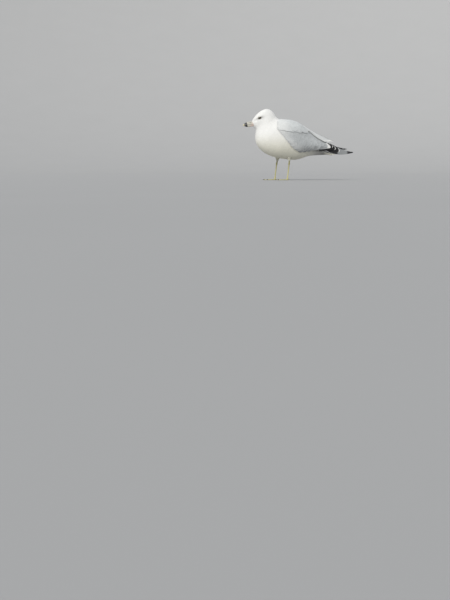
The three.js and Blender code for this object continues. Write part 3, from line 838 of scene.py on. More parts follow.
# %% Where white feathers grow
STREAK = {"middle": (-166.0, 247.7), "tilt": 0.47, "half": (12.5, 4.6), "depth": 1.0}
BILL_SIDE = np.array([[-194, 6.2], [-185, 9.2], [-177, 11.4]])  # x, half width of the bill inside the face
BILL_END, BILL_LOW, BILL_HIGH = -178, 217.5, 233.5  # how far back it reaches there, and between which heights
WING_FRONT, WING_REAR, WING_OVERLAP = -90, 62, 9  # x where a wing covers the coat, and how far above its edge


def grows(root, way, length):
    """Whether a white feather has room: its root, middle and tip are off the eye, and its root off the bill
    and out from under the wing."""
    clear = np.ones(len(root), bool)
    for k in (0.0, 0.5, 1.0):
        clear &= eye_distance(root + way * (length * k)[:, None]) > 1
    x, y, z = root[:, 0], np.abs(root[:, 1]), root[:, 2]
    half = np.interp(x, BILL_SIDE[:, 0], BILL_SIDE[:, 1])
    in_bill = (x < BILL_END) & (y < half) & (z > BILL_LOW) & (z < BILL_HIGH)
    covered = (x > WING_FRONT) & (x < WING_REAR) & (z > wing_low_z(x) + WING_OVERLAP)
    return clear & ~in_bill & ~covered


def face_spacing(p):
    """Feathers 1.2 mm apart at the bill, 2.4 on the nape, and finer again close to the eye."""
    wide = np.interp(p[..., 0], [-195, -180, -150, -105], [1.2, 1.4, 1.85, 2.4])
    return np.minimum(wide, 0.45 + 0.3 * eye_distance(p))


def white_tint(root, normal, u, c, rnd):
    """White, a little creamy below, with a dusky smudge before and round the eye and faint flecks on the
    nape. Painted shade darkens the undersides from the belly back to the tail, and the lowest belly."""
    x, z = root[:, 0], root[:, 2]
    low = creamy(z) * (0.9 - 0.7 * smooth(x, 0, 60))
    streak = np.array([math.cos(STREAK["tilt"]), math.sin(STREAK["tilt"])])
    off = root[:, [0, 2]] - STREAK["middle"]
    level, across = off @ streak, off @ np.array([-streak[1], streak[0]])
    smudge = STREAK["depth"] * np.exp(-((level / STREAK["half"][0]) ** 2 + (across / STREAK["half"][1]) ** 2))
    flecks = 0.35 * (rnd > 0.86) * smooth(x, -150, -128) * smooth(z, 215, 240) * smooth(-x, 88, 96)
    base = blend(blend(WHITE, CREAM, low), DUSK * 0.3, smudge)
    # painted shade: feathers that face down are darker towards the tail, and the lowest belly is darker
    under = smooth(-normal[:, 2], -0.6, 0.15) * (0.55 * smooth(x, 5, 70) + 0.27 * smooth(x, 60, 100))
    base = base * (1 - under - 0.12 * smooth(-z, -105, -88))[:, None]
    fleck = blend(base, DUSK, flecks)
    tip = (smooth(u, 0.35, 0.6) * (1 - smooth(np.abs(c), 0.2, 0.6)))[..., None]
    per_point = base[:, None, None] * (1 - tip) + fleck[:, None, None] * tip
    return tone(per_point, rnd, u, depth=0.025, root_shade=0.06)


def white_coat(name, t_range, spacing, reach, breadth, **shape):
    """Feathers on a stretch of ribs: as many times the spacing long and wide as reach and breadth say."""
    t, phi = spread(body, t_range, (-np.pi, np.pi), spacing)
    root = body(t, phi)
    gap = spacing(root)
    way = unit(tangents(body, t, phi)[0])
    kept = grows(root, way, reach * gap)
    t, phi, gap, way = t[kept], phi[kept], gap[kept], way[kept]
    root = body(t, phi)
    hem = 2.6 * smooth(root[:, 0] + reach * gap, -94, -84) * smooth(root[:, 2], 215, 235)
    piece = vanes(name, body, t, phi, way, reach * gap, breadth * gap, down_white, white_tint, droop=hem,
                  chart=(*t_range, -np.pi, np.pi), **shape)
    print(f"{name}: {len(t)} feathers")
    return dress(piece, "plumage")


def even(spacing):
    return lambda p: np.full(p.shape[:-1], float(spacing))


def from_front(*pairs):
    """A spacing that changes along the bird: pairs of a place on X and the spacing there."""
    places, gaps = np.array(pairs).T
    return lambda p: np.interp(p[..., 0], places, gaps)


# %% White coat
white_coat("face_feathers", (0.12, 3.4), face_spacing, 3.3, 1.85, rows=3, sink=1.2, rise=0.02,
           camber=0.05, fray=0.07, tuck=0.06, seed=11)
white_coat("head_feathers", (3.05, 5.9), face_spacing, 3.0, 1.8, rows=3, sink=1.3, rise=0.02,
           camber=0.05, fray=0.08, tuck=0.09, seed=16)
white_coat("neck_feathers", (5.5, 8.5), from_front((-180, 2.5), (-90, 2.9)), 3.3, 1.95, sink=2.3,
           rise=0.05, camber=0.07, fray=0.07, tuck=0.13, seed=12)
white_coat("breast_feathers", (8.2, 11.4), from_front((-170, 3.0), (-100, 3.7)), 3.4, 1.95, sink=3.4,
           rise=0.07, camber=0.08, fray=0.06, tuck=0.15, seed=13)
white_coat("belly_feathers", (11.15, 14.5), from_front((-60, 3.9), (40, 4.6)), 3.5, 1.95, sink=3.4, rise=0.1,
           camber=0.1, fray=0.06, tuck=0.18, seed=14)
white_coat("tail_coverts", (14.2, 17.6), even(5.2), 4.4, 1.8, sink=2.2, rise=0.2, camber=0.2, fray=0.06,
           tuck=0.15, spread_deg=5, seed=15)

# %% [markdown]
# ## Trousers
#
# Short white feathers cover each thigh down to the bare shin and end in a loose, slightly ragged edge. The
# thigh is a cone, so its surface is a place down it and an angle round it.

# %% Thigh feathers
def thigh_surface(name):
    hip, ankle, _ = leg_points(name)

    def surface(down, angle):
        """A point at a share down the thigh: its middle line, and an ellipse round it that narrows
        downwards."""
        z = hip[2] + 3 - down * (hip[2] + 3 - SHIN_TOP)
        middle = hip + (ankle - hip) * ((hip[2] - z) / (hip[2] - ankle[2]))[..., None]
        radius = 3.7 + 5.2 * smooth(z, SHIN_TOP + 1, hip[2] + 4)
        return middle + np.stack([1.25 * radius * np.cos(angle), radius * np.sin(angle), 0 * z], -1)

    return surface


def shaded_trouser_tint(root, normal, u, c, rnd):
    # painted shade: the white thigh feathers are painted cream dimmed to four fifths, for the shade under the
    # belly
    return tone(np.broadcast_to(CREAM * 0.8, root.shape)[:, None, None], rnd, u, depth=0.03, root_shade=0.06)


for name in SIDES:
    surface = thigh_surface(name)
    down, angle = spread(surface, (0, 0.72), (-np.pi, np.pi), even(2.0))
    way = unit(tangents(surface, down, angle)[0])
    trousers = vanes(f"thigh_feathers_{name}", surface, down, angle, way, 5.5, 3.0, down_white, shaded_trouser_tint,
                     locks=2, sink=1.4, rise=0.2, camber=0.15, fray=0.18,
                     chart=(0, 0.72, -np.pi, np.pi), seed=21)
    dress(trousers, "plumage")


# %% [markdown]
# ## Grey back and wing coverts
#
# The back and the folded wings are covered by rows of rounded feathers that overlap like roof tiles, small
# at the shoulder and longer towards the tail. Their roots stand in quincunx, each row shifted by half a
# pitch, as they do on a bird. They point along the wing: down the slope of the back near the ridge, and
# nearly level below. The scapulars, which grow from the shoulder, lie as a layer of their own over the
# wing's coverts, and their lower edge throws a soft shadow along its middle. They could be one sheet with a
# bump, but the step shows from all sides.

# %% Rows of feathers
WING_LENGTH = WING[-1, 0] - WING[0, 0]


def quincunx(surface, places, v_range, pitch, margin):
    """Roots in rows at the given places along, a pitch apart across, with every other row shifted by a
    half. The last one of a row stands a margin, in mm, short of the range's end."""
    v_line = np.linspace(*v_range, 200)
    a, b = [], []
    for row, place in enumerate(places):
        line = surface(np.full(200, place), v_line)
        walked = np.concatenate([[0], np.cumsum(np.linalg.norm(np.diff(line, axis=0), axis=1))])
        room = walked[-1] - margin(place)
        count = max(1, int(room / pitch(place)))
        step = np.arange(count) + 0.25 + 0.5 * (row % 2)
        b.append(np.interp(step * room / (count - 0.25), walked, v_line))
        a.append(np.full(count, place))
    return np.concatenate(a), np.concatenate(b)


def places_along(start, stop, step):
    """Places from start to stop, each a step on from the last one, where the step depends on the place."""
    places = [start]
    while places[-1] < stop:
        places.append(places[-1] + step(places[-1]))
    return np.array(places[:-1])


def wing_lie(surface, s, v):
    """Backwards along the wing, with the wing's own slope there, from 0.42 down to 0.14 up."""
    run = tangents(surface, s, v, (0.004, 0.004))[0]
    slope = np.clip(run[:, 2] / run[:, 0], -0.42, 0.14)
    return unit(np.stack([np.ones_like(slope), 0 * slope, slope], -1))


# %% Two layers and their shades
TRACT_EDGE = np.array([[-90, 200], [-72, 196], [-40, 197], [0, 201], [38, 204], [60, 200]])  # x, z
TRACT_LIFT = 2.2


def tract_edge_z(x):
    return np.interp(x, TRACT_EDGE[:, 0], TRACT_EDGE[:, 1])


def scapular_surface(side):
    """The wing's surface lifted where the scapulars lie on it: by nothing on the ridge, by the full lift at
    their lower edge, and over the tertials' roots by a little more."""
    def surface(s, v):
        base = wing(side, s, v)
        x, z = base[..., 0], base[..., 2]
        ridge = np.interp(x, WING[:, 0], WING[:, 1])
        edge = tract_edge_z(x)
        low = smooth((ridge - z) / (ridge - edge), 0.1, 0.8)
        rear = smooth(x, -25, 25)
        return wing(side, s, v, TRACT_LIFT * (1 - (1 - low) * (1 - rear)) + 0.9 * rear)
    return surface


def grey_tint(fringe, crescent=0.0):
    """Blue-grey with a darker shaft and a slightly paler fringe, paler along the wing's front edge, and with
    a pale crescent at the rear of the scapular tract. A painted highlight makes the top of the shoulder
    paler;
    painted shade darkens the wing below and towards its rear, and a painted shadow lies under the
    scapulars' edge."""
    def shade(root, normal, u, c, rnd):
        x, z = root[:, 0], root[:, 2]
        # painted highlight: the top of the shoulder, which faces the sky, is paler
        top = 0.8 * smooth(z, 178, 228) * smooth(-x, -60, 10)
        front = np.maximum(0.38 * smooth(wing_low_z(x) + 34 - z, 0, 26) * smooth(-x, -5, 30),
                           0.5 * smooth(-x, 46, 84))
        pale = blend(blend(GREY, PALE_GREY, top), WHITE, front)
        # painted shadow: the coverts just under the scapulars' edge are darker
        gap = tract_edge_z(x) - z
        shadow = 0.10 * smooth(gap, -6, 2) * (1 - smooth(gap, 10, 26)) * (1 - smooth(x, 30, 60))
        shadow = shadow * (crescent == 0)
        # painted shade: the lower and the rear part of the wing are darker
        low = 0.7 * (1 - smooth(z, 108, 148)) * smooth(x, -60, 10) + 0.24 * smooth(x, 30, 85)
        ground = (pale * np.clip(1 - shadow - low, 0.3, 1)[:, None])[:, None, None]
        edge = fringe * smooth(np.maximum(u, np.abs(c) * 0.96), 0.72, 1.0)
        shaft = 0.10 * (1 - smooth(np.abs(c), 0.0, 0.18)) * (1 - smooth(u, 0.7, 1.0))
        grey = blend(blend(ground, PALE_GREY, edge), BLACK, shaft)
        white = crescent * smooth(x, 2, 10)[:, None, None] * smooth(u + 0 * c, 0.84, 0.92)
        return tone(blend(grey, WHITE, white), rnd, u, depth=0.045, root_shade=0.18)
    return shade


def covert_length(s):
    return np.interp(s, [0, 0.08, 0.25, 0.45, 0.65, 0.85], [9, 11, 17, 26, 36, 40])


def grey_rows(name, side, surface, start, stop, keep, shade, seed):
    """A layer of grey feathers in rows, each row 0.30 of their length behind the last, 0.40 of it apart in
    it."""
    places = places_along(start, stop, lambda s: 0.30 * covert_length(s) / WING_LENGTH)
    s, v = quincunx(surface, places, (0.01, 0.995), lambda s: 0.40 * covert_length(s),
                    lambda s: np.interp(s, [0, 0.4, 0.6, 0.85], [0.26, 0.28, 0.36, 0.42]) * covert_length(s))
    root = surface(s, v)
    kept = keep(root[:, 2] - tract_edge_z(root[:, 0]))
    s, v = s[kept], v[kept]
    long = covert_length(s)
    lie = wing_lie(surface, s, v)
    piece = vanes(name, surface, s, v, lie, long, 0.66 * long, down_grey, shade, outward=side,
                  sink=1.9, rise=0.3, camber=0.35, locks=5, rows=7, fray=0.004, rounding=0.30, waist=0.6,
                  spread_deg=3, smoothness=0.35, chart=(0, 1, 0, 1), seed=seed)
    print(f"{name}: {len(s)} feathers in {len(places)} rows")
    return dress(piece, "mantle")


# %% Coverts and scapulars
for name, side in SIDES.items():
    grey_rows(f"coverts_{name}", side, partial(wing, side), 0.0, 0.80, lambda high: high < 14,
              grey_tint(0.35), 31)
    grey_rows(f"scapulars_{name}", side, scapular_surface(side), 0.02, 0.53, lambda high: high > 3,
              grey_tint(0.35, 0.6), 33)

# %% [markdown]
# ## Long quills: tertials, primaries and tail
#
# These feathers are single leaves seen from both sides, so each one is a closed blade about half a
# millimetre thick. A group lies on a surface of its own that takes a share along, a share across and a
# height; each blade keeps to a lane of it. The blades are stacked a little apart, as in a closed fan. Each
# has its own cell of the baking map, because a white tip or a black bar has to stay sharp.

# %% Blades
BLADE_ROWS, BLADE_COLUMNS, BLADE_THICK = 40, 9, 0.5


def quills(name, surface, lanes, colour, material, *, rounding, seed, below=1.0):
    """A closed blade for each lane: root and tip along, its middle across at both, half width across,
    height. The half width grows as a quarter sine up to the middle and shrinks by a fifth near the tip; a
    column at share c is shorter by rounding x |c| to the power 2.4; the leaf is arched across and thinnest
    at its edges."""
    rng = np.random.default_rng(seed)
    lanes = np.array(lanes, float)
    n = len(lanes)
    root, tip, start, end, half, height = (v[:, None, None] for v in lanes.T)
    u = np.linspace(0, 1, BLADE_ROWS)[None, :, None]
    c = np.linspace(-1, 1, BLADE_COLUMNS)[None, None, :]
    wiggle = 0.004 * rng.uniform(-1, 1, (n, 1, BLADE_COLUMNS)) * u ** 8
    place = root + (tip - root) * u - rounding * np.abs(c) ** 2.4 * u ** 7 + wiggle
    narrow = (0.55 + 0.45 * np.sin(np.pi / 2 * np.minimum(1, u / 0.5))) * (1 - 0.22 * smooth(u, 0.7, 1.0))
    across = start + (end - start) * u + c * half * narrow
    arch = 0.7 * BLADE_THICK * (1 - c * c)
    leaf = BLADE_THICK / 2 * (1 - 0.7 * c * c) * (1 - 0.5 * u)
    points, faces, shades, vane_maps, bake_maps = [], [], [], [], []
    for k in range(n):
        top = surface(place[k], across[k], height[k] + (arch + leaf)[0])
        under = surface(place[k], across[k], height[k] + (arch - leaf)[0])
        corner, quads = sheet_shell(top, under)
        faces.append(outwards(corner, quads) + len(corner) * k)
        points.append(corner)
        run = np.linalg.norm(top[-1, BLADE_COLUMNS // 2] - top[0, BLADE_COLUMNS // 2])
        uu, cc = np.broadcast_arrays(u[0], c[0])
        shade = colour(k, uu, cc, rng.random())
        both = [np.concatenate([g, g[:, ::-1]], axis=1) for g in (uu, cc)]
        back = np.concatenate([np.zeros_like(uu), np.ones_like(uu)], axis=1)
        # below scales each blade's underside; under 1 it is a painted shade
        shades.append(np.concatenate([shade, shade[:, ::-1] * below], axis=1).reshape(-1, 3))
        vane_maps.append(np.stack([both[1] * 0.8, both[0] * run / 10], -1).reshape(-1, 2))
        cell = (k + 0.25 + 0.5 * back + 0.22 * both[1]) / n
        bake_maps.append(np.stack([cell, 0.01 + 0.98 * both[0]], -1).reshape(-1, 2))
    maps = {"vane": np.vstack(vane_maps), "OFBake": np.vstack(bake_maps)}
    return mesh_piece(name, np.vstack(points), np.vstack(faces), material, np.vstack(shades), maps)


# %% Secondaries
def white_end(start, pale, dark=0):
    """Grey with a darker shaft, and a broad white end from a given share of the length; the first dark
    ones, which are primaries that show under the edge of the wing, are black."""
    def shade(k, u, c, rnd):
        white = smooth(u + 0.015 * np.sin(9 * c + k), start, start + 0.04)
        shaft = 0.25 * (1 - smooth(np.abs(c), 0.0, 0.12)) * (1 - white)
        grey = blend(GREY * (0.96 + 0.08 * rnd), WHITE, pale + 0.2 * smooth(np.abs(c), 0.8, 1.0))
        if k < dark:
            return np.broadcast_to(BLACK * 1.2, grey.shape)
        return blend(blend(grey, BLACK, shaft), WHITE, white)
    return shade


SECONDARY_LANES = [  # root, tip, middle at the root and tip, half width, height
    (0.80, 1.040, 0.99, 1.00, 0.06, -2.9),
    (0.78, 1.030, 0.93, 0.94, 0.07, -2.6),
    (0.55, 0.985, 0.84, 0.86, 0.11, -1.9),
    (0.55, 0.990, 0.77, 0.79, 0.12, -1.6),
    (0.55, 0.990, 0.70, 0.73, 0.12, -1.3),
    (0.55, 0.980, 0.62, 0.66, 0.12, -1.0),
    (0.55, 0.965, 0.54, 0.58, 0.12, -0.7),
]
for name in SIDES:
    secondaries = quills(f"secondary_quills_{name}", partial(wing, SIDES[name]), SECONDARY_LANES,
                         white_end(0.86, 0.15, 2), quill_grey, rounding=0.02, seed=44)
    dress(secondaries, "flight")

# %% Tertials
TERTIAL_SLICES = (4.15, 9.25)  # the wing slices from which and to which they run
TERTIAL_PROUD, TERTIAL_RISE = 5.4, 1 / 3  # mm over the wing, reached at this share of their length
TERTIAL_LIFT = {"left": 7.5, "right": 9.5}  # mm more at the tips
TERTIAL_EDGE = np.array([0.16, 0.40, 0.60, 0.76, 0.90, 0.72])[:, None]  # radians round from the ridge
WING_APART, TERTIAL_ROOT_SUNK = 0.8, 3.2


def tertial_surface(name):
    def surface(s, w, h):
        """The wing's slice at share s along the tertials, at share w from the ridge to their lower edge,
        raised by a quarter sine to stand proud, sunk under the scapulars at the root, and lifted at the tip
        by the square of s."""
        row = along(WING, TERTIAL_SLICES[0] + (TERTIAL_SLICES[1] - TERTIAL_SLICES[0]) * s)
        x, ridge, wide, half, roundness, _ = np.moveaxis(row, -1, 0)
        first = np.arcsin((WING_APART / half) ** (roundness / 2))
        angle = first + w * along(TERTIAL_EDGE, s * (len(TERTIAL_EDGE) - 1))[..., 0]
        grow = TERTIAL_PROUD * np.sin(np.pi / 2 * np.minimum(1, 0.2 + 0.8 * s / TERTIAL_RISE)) + h
        grow = grow - TERTIAL_ROOT_SUNK * (1 - smooth(s, 0.0, 0.24))
        y = SIDES[name] * (half + grow) * wave(np.sin(angle), 2 / roundness)
        z = wide + (ridge - wide + grow) * wave(np.cos(angle), 2 / roundness) + TERTIAL_LIFT[name] * s * s
        return stacked(x, y, z)
    return surface


TERTIAL_LANES = [  # root, tip, middle at the root and tip, half width, height
    (0.10, 0.82, 0.78, 0.84, 0.20, -2.3),
    (0.06, 0.92, 0.64, 0.66, 0.24, -1.7),
    (0.03, 1.00, 0.44, 0.44, 0.27, -1.1),
    (0.00, 1.05, 0.26, 0.26, 0.25, -0.5),
]
for name in SIDES:
    tertials = quills(f"tertial_quills_{name}", tertial_surface(name), TERTIAL_LANES,
                      white_end(0.86, 0.34), quill_grey, rounding=0.07, seed=41)
    dress(tertials, "flight", f"tertials_{name}")

# %% Primaries
PRIMARY_EDGES = {  # x, upper edge y and z, lower edge y and z, with y towards the wing's own side
    "left": np.array([
        [112, 11, 149, 20, 119],
        [136, 10, 147, 18.5, 113.5],
        [172, 9, 128, 16.5, 106.8],
        [206, 8, 118.5, 14, 108],
        [229, 10, 115, 11, 110.5],
    ]),
    "right": np.array([
        [112, 10, 147, 17.5, 127],
        [136, 9, 144, 15.5, 123],
        [172, 7.5, 134.5, 13, 121.5],
        [193, 6, 130.5, 10, 123.5],
        [208, 6, 128, 7, 126],
    ]),
}


def primary_surface(name):
    def surface(s, w, h):
        """From the upper edge (w = 0) to the lower one (w = 1), bowed outwards in between, h mm
        outwards."""
        rows = PRIMARY_EDGES[name]
        x, y0, z0, y1, z1 = np.moveaxis(along(rows, s * (len(rows) - 1)), -1, 0)
        y = y0 + (y1 - y0) * w + 1.4 * (1 - s) * np.sin(np.pi * np.clip(w, 0, 1)) + h * (1 - 0.6 * s)
        return stacked(x, SIDES[name] * y, z0 + (z1 - z0) * w + 0.4 * h)
    return surface


MIRROR = {"left": (0.465, 0.75), "right": (0.70, 0.79)}  # shares of the longest primary


def primary_tint(name):
    """Black, with a mirror before the longest one's black end, white on the bird but painted a dark grey
    here as shade, and a white tip on each other one."""
    def shade(k, u, c, rnd):
        flat = u + 0 * c
        start, stop = MIRROR[name]
        pale = smooth(flat, start - 0.015, start + 0.015) * (1 - smooth(flat, stop - 0.015, stop + 0.015))
        tip = smooth(flat, 0.945, 0.965)
        dark = blend(BLACK * (0.9 + 0.3 * rnd), GREY, 0.25 * (1 - smooth(flat, 0.0, 0.12)))
        # painted shade: the white mirror is painted GREY times 0.6
        return blend(dark, GREY * 0.6, 0.85 * pale) if k == 0 else blend(dark, WHITE, tip)
    return shade


PRIMARY_LANES = {  # root, tip, middle at the root and tip, half width, height
    "left": [
        (-0.06, 1.00, 0.60, 0.50, 0.58, -0.9),
        (-0.06, 0.50, 0.50, 0.42, 0.42, -0.35),
        (-0.06, 0.385, 0.42, 0.33, 0.34, 0.2),
        (-0.06, 0.30, 0.34, 0.27, 0.28, 0.75),
        (-0.06, 0.20, 0.28, 0.22, 0.24, 1.3),
    ],
    "right": [
        (-0.06, 1.00, 0.60, 0.50, 0.50, -0.9),
        (-0.06, 0.78, 0.52, 0.50, 0.46, -0.35),
        (-0.06, 0.58, 0.44, 0.42, 0.40, 0.2),
        (-0.06, 0.41, 0.36, 0.34, 0.34, 0.75),
        (-0.06, 0.28, 0.30, 0.26, 0.28, 1.3),
    ],
}
for name in SIDES:
    primaries = quills(f"primary_quills_{name}", primary_surface(name), PRIMARY_LANES[name],
                       primary_tint(name), quill_black, rounding=0.04, seed=42)
    dress(primaries, "primary", f"primaries_{name}")

# %% Tail
TAIL_BOX = box_mm("tail")
TAIL_TOP, TAIL_HALF, TAIL_ARCH, TAIL_ROUND = (116.5, 107.5), (17, 27), 5.0, 4
TAIL_FEATHERS = 12


def tail_surface(s, w, h):
    """A fan that widens backwards, arched across by the square of w, its outer feathers shorter."""
    x = TAIL_BOX[0][0] + (TAIL_BOX[1][0] - TAIL_BOX[0][0]) * s - TAIL_ROUND * s ** 6 * w ** 2
    y = w * (TAIL_HALF[0] + (TAIL_HALF[1] - TAIL_HALF[0]) * s)
    z = TAIL_TOP[0] + (TAIL_TOP[1] - TAIL_TOP[0]) * s - TAIL_ARCH * w ** 2 + h
    return stacked(x, y, z)


def shaded_tail_tint(k, u, c, rnd):
    shaft = 0.12 * (1 - smooth(np.abs(c), 0.0, 0.12))
    # painted shade: the white tail is painted a dim cream, darker than white
    return blend(CREAM * (0.78 + 0.05 * rnd), DUSK, shaft + 0 * u)


places = (np.arange(TAIL_FEATHERS) - (TAIL_FEATHERS - 1) / 2) / (TAIL_FEATHERS / 2) * 0.86
order = np.argsort(-np.abs(places))
tail_lanes = [(0.0, 1.0 - 0.01 * (k % 2), 0.9 * w, w, 0.16, -0.6 - 0.38 * abs(w) * TAIL_FEATHERS / 2)
              for k, w in enumerate(places[order])]
# below=0.5 is painted shade: the tail feathers' undersides half as bright as their tops
tail = quills("tail_quills", tail_surface, tail_lanes, shaded_tail_tint, quill_white, rounding=0.045, below=0.5,
              seed=43)
dress(tail, "plumage", "tail")


# %% [markdown]
# ## Bill
#
# A gull's bill is two horny sheaths over bone: the upper one hooks down over the tip of the lower one,
# which has a corner under its chin. The mouth line between them runs back under the eye. Each half is rings
# round a table of heights and widths. The nostril is a slot pressed into the side, and the colours are
# bands along the length.

# %% Bill halves
UPPER_BILL = np.array([  # x, z above, z below, half width
    [-177, 227.5, 223.9, 12.4],
    [-185, 232.6, 224.5, 10.2],
    [-193, 236.0, 225.0, 7.4],
    [-203, 235.2, 224.8, 5.9],
    [-213, 233.2, 224.0, 5.0],
    [-221, 229.6, 222.0, 3.9],
    [-227, 224.6, 219.2, 2.4],
    [-230, 219.6, 217.6, 0.8],
])
LOWER_BILL = np.array([
    [-177.5, 223.3, 219.6, 12.2],
    [-185, 223.9, 217.6, 9.8],
    [-193, 224.4, 216.0, 7.0],
    [-203, 224.3, 214.8, 5.3],
    [-213, 223.4, 213.8, 4.4],
    [-220, 221.5, 215.4, 3.2],
    [-226.5, 218.7, 217.3, 1.1],
])
NOSTRIL = {"x": -200.0, "z": 230.2, "half_length": 4.2, "half_height": 0.75, "depth": 1.5}


def bill_half(rows, upper):
    """Rings along the table: from the mouth edge up (or down) to the ridge by cos to the power 0.9, and out
    by sin to the power 0.85. The lip swells a little over the edge, and the nostril is a flat-topped bell
    inwards."""
    s = np.linspace(0, 1, 120)[:, None]
    angle = turns(96)
    x, top, low, half = np.moveaxis(along(rows, s * (len(rows) - 1)), -1, 0)
    edge, ridge = (low, top) if upper else (top, low)
    c, k = np.cos(angle) + 0 * s, np.sin(angle) + 0 * s
    rise = (ridge - edge) * np.maximum(c, 0) ** 0.9
    lip = 0.06 * bell(np.abs(rise), 1.1) * smooth(s, 0.1, 0.4)
    keel = 1 - 0.10 * smooth(c, 0.55, 0.9) * (1 - smooth(c, 0.93, 1.0))
    y = half * wave(k, 0.85) * (1 + lip) * keel
    z = edge + rise
    if upper:
        along_slot = (x - NOSTRIL["x"]) / NOSTRIL["half_length"]
        off_slot = (z - NOSTRIL["z"] + 0.06 * (x - NOSTRIL["x"])) / NOSTRIL["half_height"]
        slot = np.exp(-(along_slot ** 4) - off_slot ** 2)
        y = y - np.sign(y) * NOSTRIL["depth"] * slot * (c > 0)
    return tube_mesh(stacked(x, y, z))


def bill_tint(p, upper):
    """Pinkish horn at the base, a dull black ring, and a pale yellow end, with a dark mouth line."""
    x, z = p[:, 0], p[:, 2]
    base = blend(HORN_PINK, HORN_BASE, smooth(-x + 0.6 * (z - 222), 190, 206))
    edge = np.interp(-x, -UPPER_BILL[:, 0], UPPER_BILL[:, 2])
    base = base * (1 - 0.22 * smooth(z, 226, 233))[:, None]
    slant = x + 0.25 * (z - 224)
    ring = smooth(-slant, 212, 214) * (1 - smooth(-slant, 224, 226))
    colour = blend(blend(base, HORN_TIP, smooth(-x, 221, 225)), BLACK, 0.98 * ring)
    mouth = bell(z - edge, 0.75) * 0.75
    if upper:
        # painted shade: the nostril slot is painted nearly black for the shade inside it
        nostril_shade = np.exp(-(((x - NOSTRIL["x"]) / 4.4) ** 4) - (((z - NOSTRIL["z"]) / 0.7) ** 2))
        colour = blend(colour, BLACK, 0.85 * nostril_shade)
    return blend(colour, DUSK * 0.3, mouth)


for name, rows, upper in (("upper_bill", UPPER_BILL, True), ("lower_bill", LOWER_BILL, False)):
    half = bill_half(rows, upper)
    horn = closed_piece(f"{name}_sheath", half, horn_paint, bill_tint(half[0], upper))
    dress(horn, "bill", name)

# %% [markdown]
# ## Eyes and lids
#
# The eyeball is a sphere sunk in the head, with a pale straw iris round a large black pupil and a wet,
# clear surface. The lids are a bare ring round an opening that slopes up towards the back. They lie on the
# ball at their inner edge and run out level with the feathers' feet, and the upper one hangs a little over
# the iris.

# %% Eyes
EYE_BALL = box_mm("eye_right")
EYE_CENTRE = (EYE_BALL[0] + EYE_BALL[1]) / 2
BALL_RADIUS = (EYE_BALL[1][1] - EYE_BALL[0][1]) / 2
PUPIL, IRIS, RIM = 0.56, 0.80, 0.015  # radians from the optical axis, and how soft the pupil's rim is
STRAW_DARK = np.array([0.30, 0.25, 0.11])
STRAW = np.array([0.50, 0.44, 0.24])
IRIS_EDGE = np.array([0.16, 0.11, 0.05])
PUPIL_BLACK = np.array([0.006, 0.006, 0.008])
BALL_DARK = np.array([0.02, 0.016, 0.012])
LID_DARK = np.array([0.05, 0.042, 0.034])
GAZE = unit(np.array([-0.20, 1.0, 0.03]))
OPENING_HALF, OPENING_DROP = (4.7, 3.4), 0.3
LID_WIDTH, LID_SUNK = 1.9, 0.7


def frame_of(axis):
    """Two directions square to an axis, the first one level."""
    level = unit(np.cross([0.0, 0, 1], axis))
    return level, np.cross(axis, level)


def eye_piece(name, side):
    theta = np.concatenate([np.linspace(0.02, 0.95, 34), np.linspace(1.05, 3.12, 16)])[:, None]
    turn = turns(64)
    level, up = frame_of(GAZE)
    bulge = 1 + 0.035 * bell(theta, 0.55)
    out = np.cos(theta)[..., None] * GAZE + (np.sin(theta) * np.cos(turn))[..., None] * level
    out = out + (np.sin(theta) * np.sin(turn))[..., None] * up
    ball = tube_mesh((EYE_CENTRE + BALL_RADIUS * bulge[..., None] * out) * [1, side, 1])
    rings, around = len(theta), turn.size
    theta = np.append(np.repeat(theta[:, 0], around), [0.0, np.pi])
    turn = np.append(np.tile(turn[0], rings), [0.0, 0.0])
    spokes = 0.5 + 0.5 * np.sin(turn * 37 + 3 * np.sin(turn * 5))
    straw = blend(STRAW_DARK, STRAW, spokes * 0.8)
    iris = blend(straw, IRIS_EDGE, smooth(theta, IRIS - 0.10, IRIS))
    colour = blend(PUPIL_BLACK + 0 * iris, iris, smooth(theta, PUPIL - RIM, PUPIL + RIM))
    colour = blend(colour, BALL_DARK, smooth(theta, IRIS, IRIS + 0.04))
    eye = closed_piece(f"eyeball_{name}", ball, eye_paint, colour)
    return dress(eye, "eye", f"eye_{name}")


def ring_faces(rings, around):
    """Quads over a grid that closes on itself both ways."""
    r, c = np.meshgrid(np.arange(rings), np.arange(around), indexing="ij")
    nr, nc = (r + 1) % rings, (c + 1) % around
    return np.stack([r * around + c, nr * around + c, nr * around + nc, r * around + nc], -1).reshape(-1, 4)


FACE_START = (2.8, 1.3)  # the rib and the angle at which the search starts
FACE_RIBS, FACE_ANGLES, FACE_STEPS = (0.5, 6), (0.4, 2.6), 8


def face_y(x, z):
    """The half width of the face at places seen from the side: Newton's steps on the two shares of the
    surface."""
    t, phi = (start + 0 * x for start in FACE_START)
    for _ in range(FACE_STEPS):
        miss = np.stack([x, z], -1) - body(t, phi)[..., [0, 2]]
        (ax, az), (bx, bz) = (np.moveaxis(g[..., [0, 2]], -1, 0) for g in tangents(body, t, phi))
        det = ax * bz - az * bx
        t = np.clip(t + (bz * miss[..., 0] - bx * miss[..., 1]) / det, *FACE_RIBS)
        phi = np.clip(phi + (ax * miss[..., 1] - az * miss[..., 0]) / det, *FACE_ANGLES)
    return body(t, phi)[..., 1]


